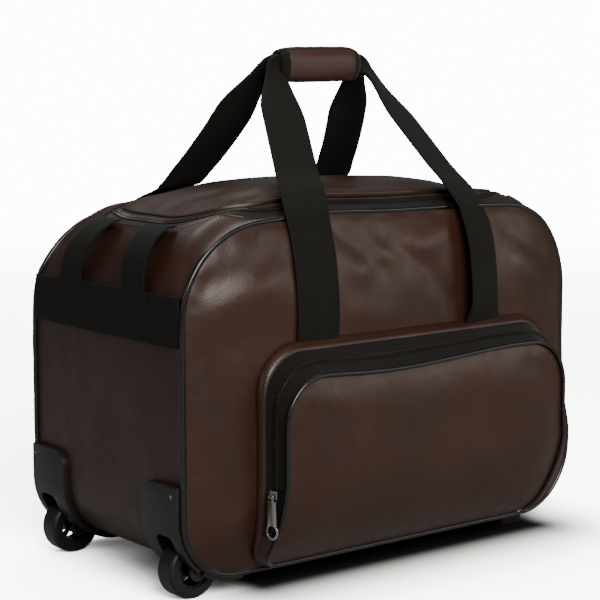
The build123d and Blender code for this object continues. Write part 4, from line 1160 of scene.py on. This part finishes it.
# ---------------------------------------------------------------- hardware
def bevelled(node, name, material, slot, body, width):
    """A CAD node's shape with its hard edges rounded; width is in mm."""
    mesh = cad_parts[node].data.copy()
    mesh.materials.clear()
    obj = scene_object(name, mesh)
    with editing(mesh) as bm:
        bmesh.ops.remove_doubles(bm, verts=bm.verts, dist=1e-6)
        bmesh.ops.dissolve_limit(bm, angle_limit=math.radians(1.0), verts=bm.verts, edges=bm.edges)
    shade_smooth(mesh)
    modifier = obj.modifiers.new("edges", "BEVEL")
    modifier.width, modifier.segments = width * MM, 3
    modifier.limit_method, modifier.angle_limit = "ANGLE", math.radians(32)
    modifier.use_clamp_overlap = True
    apply_modifiers(obj)
    obj.data.set_sharp_from_angle(angle=math.radians(40))
    return dress(obj, body, slot, material, node)


def finish_node(node, material):
    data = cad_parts[node].data
    data.materials.clear()
    data.materials.append(M[material])


def build_lining():
    """The CAD lining's shape in small faces, settled with the leather round it."""
    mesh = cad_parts["lining"].data.copy()
    mesh.materials.clear()
    with editing(mesh) as bm:
        bmesh.ops.remove_doubles(bm, verts=bm.verts, dist=1e-6)
        bmesh.ops.triangulate(bm, faces=bm.faces)
        for _ in range(7):
            long = [edge for edge in bm.edges if edge.calc_length() > 0.016]
            if not long:
                break
            bmesh.ops.subdivide_edges(bm, edges=long, cuts=1)
            bmesh.ops.triangulate(bm, faces=bm.faces)
        own = (np.array([vertex.co for vertex in bm.verts]) - CENTRE) / MM
        own *= (1 - 1.5 / 246, 1 - 1.5 / 129, 1)
        for vertex, place in zip(bm.verts, sag(own) * MM + CENTRE):
            vertex.co = place
        bmesh.ops.dissolve_degenerate(bm, dist=1e-6, edges=bm.edges)
    mesh.validate()
    shade_smooth(mesh, 40)
    dress(scene_object("lining_cloth", mesh), "bag", "lining", "lining", "lining")


def build_hardware():
    for place in ("front", "rear"):
        bevelled(f"wheel_housing_{place}", f"corner_housing_{place}", "housing", "housing_plastic",
                 "bag", 1.3)
        bevelled(f"wheel_hub_{place}", f"spoked_hub_{place}", "smooth_plastic", "wheel_hub",
                 f"{place}_wheel", 0.6)
        finish_node(f"wheel_tyre_{place}", "rubber")
        finish_node(f"wheel_bush_{place}", "smooth_plastic")
        finish_node(f"wheel_axle_{place}", "smooth_plastic")
    for node, name, material, body, width in (
        ("base_feet", "moulded_feet", "housing", "bag", 1.2),
        ("trolley_bezel", "corner_bezel", "housing", "bag", 1.0),
        ("trolley_grip", "pull_handle_grip", "smooth_plastic", "trolley_inner", 0.8),
        ("release_button", "pull_handle_button", "housing", "trolley_release", 0.6),
        ("trolley_stage_collars", "tube_collars", "smooth_plastic", "trolley_middle", 0.5),
    ):
        bevelled(node, name, material, "housing_plastic", body, width)
    for node, material in (
        ("housing_rivets", "steel"), ("foot_screws", "steel"), ("trolley_outer_tubes", "aluminium"),
        ("trolley_middle_tubes", "aluminium"), ("trolley_inner_tubes", "aluminium"),
        ("tube_brackets", "housing"), ("release_rods", "steel"), ("base_board", "board"),
        ("main_zip_slider", "gunmetal"), ("main_zip_puller", "gunmetal"),
        ("pocket_zip_slider", "gunmetal"),
    ):
        finish_node(node, material)
    build_lining()
    tab = bevelled("pocket_zip_puller", "pocket_pull_tab", "gunmetal", "zip_metal", "pocket_puller", 0.25)
    pivot_y = CENTRE[1] - (FACE_BASE + POCKET_DEPTH * POCKET_ZIP) * MM
    pivot_z = (FLAP_Z - 6.5) * MM
    for vertex in tab.data.vertices:
        vertex.co.y = pivot_y + (vertex.co.y - pivot_y) * 1.2
        vertex.co.z = pivot_z + (vertex.co.z - pivot_z) * 1.22


# ---------------------------------------------------------------- studio, in metres unless named otherwise
CAMERA_SPOT_MM = (-1216, -1523.5, 523.5)
CAMERA_TURN, CAMERA_TILT = math.radians(-38.4), math.radians(7.9)
CAMERA_LENS_MM = 112.5
WORLD_SEEN, WORLD_LIGHT = 13.5, 0.13
WARM = (1.0, 0.95, 0.90)
# The floor has a painted contact shadow: for camera rays it is dark inside a rounded rectangle under the bag
# and fades out to the bright floor.
FLOOR_SEEN, FLOOR_LIT, FLOOR_PAINTED_SHADOW = 11.0, 0.42, 0.02
PAINTED_SHADOW_CENTRE, PAINTED_SHADOW_HALF, PAINTED_SHADOW_FADE = (0.030, -0.040, 0.0), (0.185, 0.062, 0.0), 0.135
FLOOR_FADES_FROM, FLOOR_FADES_TO, FLOOR_RADIUS = 1.0, 3.4, 9.0


def build_camera():
    """The photograph's camera, solved from the bag's edges."""
    scene = bpy.context.scene
    camera = scene_object("camera", bpy.data.cameras.new("camera"))
    scene.camera = camera
    camera.data.lens, camera.data.sensor_width = CAMERA_LENS_MM, 36.0
    camera.data.clip_end = 100.0
    level = math.cos(CAMERA_TILT)
    back = Vector((math.sin(CAMERA_TURN) * level, -math.cos(CAMERA_TURN) * level, math.sin(CAMERA_TILT)))
    camera.location = Vector(CAMERA_SPOT_MM) * MM + Vector(CENTRE)
    camera.rotation_euler = (-back).to_track_quat("-Z", "Y").to_euler()


def build_world():
    """A world that the camera sees as white, and that lights the bag only faintly."""
    world = bpy.data.worlds.new("studio")
    bpy.context.scene.world = world
    world.use_nodes = True
    world.node_tree.nodes.clear()
    add = node_adder(world.node_tree)
    seen = add("ShaderNodeBackground", Color=(1, 1, 1, 1), Strength=WORLD_SEEN).outputs[0]
    lit = add("ShaderNodeBackground", Color=(0.96, 0.98, 1, 1), Strength=WORLD_LIGHT).outputs[0]
    by_camera = add("ShaderNodeLightPath").outputs["Is Camera Ray"]
    mix = add("ShaderNodeMixShader", i0=by_camera, i1=lit, i2=seen)
    add("ShaderNodeOutputWorld", i0=mix.outputs[0])


def softbox(name, spot, aim, size, power, color=(1, 1, 1)):
    light = bpy.data.lights.new(name, "AREA")
    light.shape, light.size, light.size_y = "RECTANGLE", size[0], size[1]
    light.energy, light.color = power, color
    obj = scene_object(name, light)
    obj.location = Vector(spot)
    obj.rotation_euler = (Vector(aim) - Vector(spot)).to_track_quat("-Z", "Y").to_euler()


def build_lights():
    softbox("front_softbox", (-0.75, -2.5, 1.75), (0, 0, 0.3), (1.9, 1.4), 84, WARM)
    softbox("right_front_softbox", (2.1, -2.6, 0.95), (0, 0, 0.3), (1.9, 1.0), 14, WARM)
    softbox("top_softbox", (0.2, 0.9, 2.3), (0, 0, 0.3), (2.0, 1.4), 25)
    softbox("left_fill", (-2.8, 0.1, 1.2), (0, 0, 0.2), (0.9, 1.2), 5)


def floor_material():
    """White to the camera and grey to other rays, with a painted contact shadow under the bag, clear far
    out.
    """
    material, add, spot = new_material("white_floor")

    def diffuse(grey):
        return add("ShaderNodeBsdfDiffuse", Color=(grey, grey, grey, 1)).outputs[0]

    def vector(operation, *values, output=0):
        inputs = {f"i{k}": value for k, value in enumerate(values)}
        return add("ShaderNodeVectorMath", set_operation=operation, **inputs).outputs[output]

    def mix(share, one, two):
        return add("ShaderNodeMixShader", i0=share, i1=one, i2=two).outputs[0]

    far = vector("LENGTH", spot, output="Value")
    fade = add("ShaderNodeMapRange", Value=far, i1=FLOOR_FADES_FROM, i2=FLOOR_FADES_TO).outputs["Result"]
    # Painted shadow: distance from a rounded rectangle under the bag's front, dark inside it and fading to
    # white.
    off = vector("SUBTRACT", spot, PAINTED_SHADOW_CENTRE)
    off = vector("SUBTRACT", vector("ABSOLUTE", off), PAINTED_SHADOW_HALF)
    off = vector("LENGTH", vector("MAXIMUM", off, (0.0, 0.0, 0.0)), output="Value")
    outside_painted_shadow = add("ShaderNodeMapRange", set_interpolation_type="SMOOTHSTEP", Value=off, i1=0.0,
                     i2=PAINTED_SHADOW_FADE).outputs["Result"]
    seen = add("ShaderNodeLightPath").outputs["Is Camera Ray"]
    # Camera rays see the dark painted shadow near the bag and the bright floor beyond it.
    pale = mix(seen, diffuse(FLOOR_LIT), mix(outside_painted_shadow, diffuse(FLOOR_PAINTED_SHADOW), diffuse(FLOOR_SEEN)))
    surface = mix(fade, pale, add("ShaderNodeBsdfTransparent").outputs[0])
    tree = material.node_tree
    tree.nodes.remove(tree.nodes["Principled BSDF"])
    tree.links.new(surface, tree.nodes["Material Output"].inputs["Surface"])
    return material


def build_floor():
    rings, spokes = 40, 96
    radius = np.concatenate([[0.0], np.geomspace(0.05, FLOOR_RADIUS, rings - 1)])[:, None]
    angle = np.linspace(0, 2 * math.pi, spokes, endpoint=False)
    points = np.stack([radius * np.cos(angle), radius * np.sin(angle), np.zeros((rings, spokes))], -1)
    mesh = bpy.data.meshes.new("floor")
    mesh.from_pydata(points.reshape(-1, 3).tolist(), [], grid_faces(rings, spokes, close_columns=True))
    floor = weld(scene_object("floor", mesh))
    for polygon in mesh.polygons:
        if polygon.normal.z < 0:
            polygon.flip()
    mesh.materials.append(floor_material())


build_camera()
build_world()
build_lights()
build_floor()
build_top_skin()
build_lower_skin()
build_panel("front_leather", -1, FRONT_FOLDS, "front_panel", 2.0)
build_panel("back_leather", 1, BACK_FOLDS, "back_panel", 12.0)
build_piping()
build_lid()
build_lid_zip()
build_pocket()
build_pocket_face()
build_handle(-1, "front_strap", "front_handle", 200, ("front_strap_anchors", "front_handle_strap"))
build_handle(1, "rear_strap", "rear_handle", REAR_SEAM_LOW, ("rear_strap_anchors", "rear_handle_strap"))
build_rear_seams(REAR_SEAM_LOW)
build_grip()
build_end_webbing()
build_hardware()
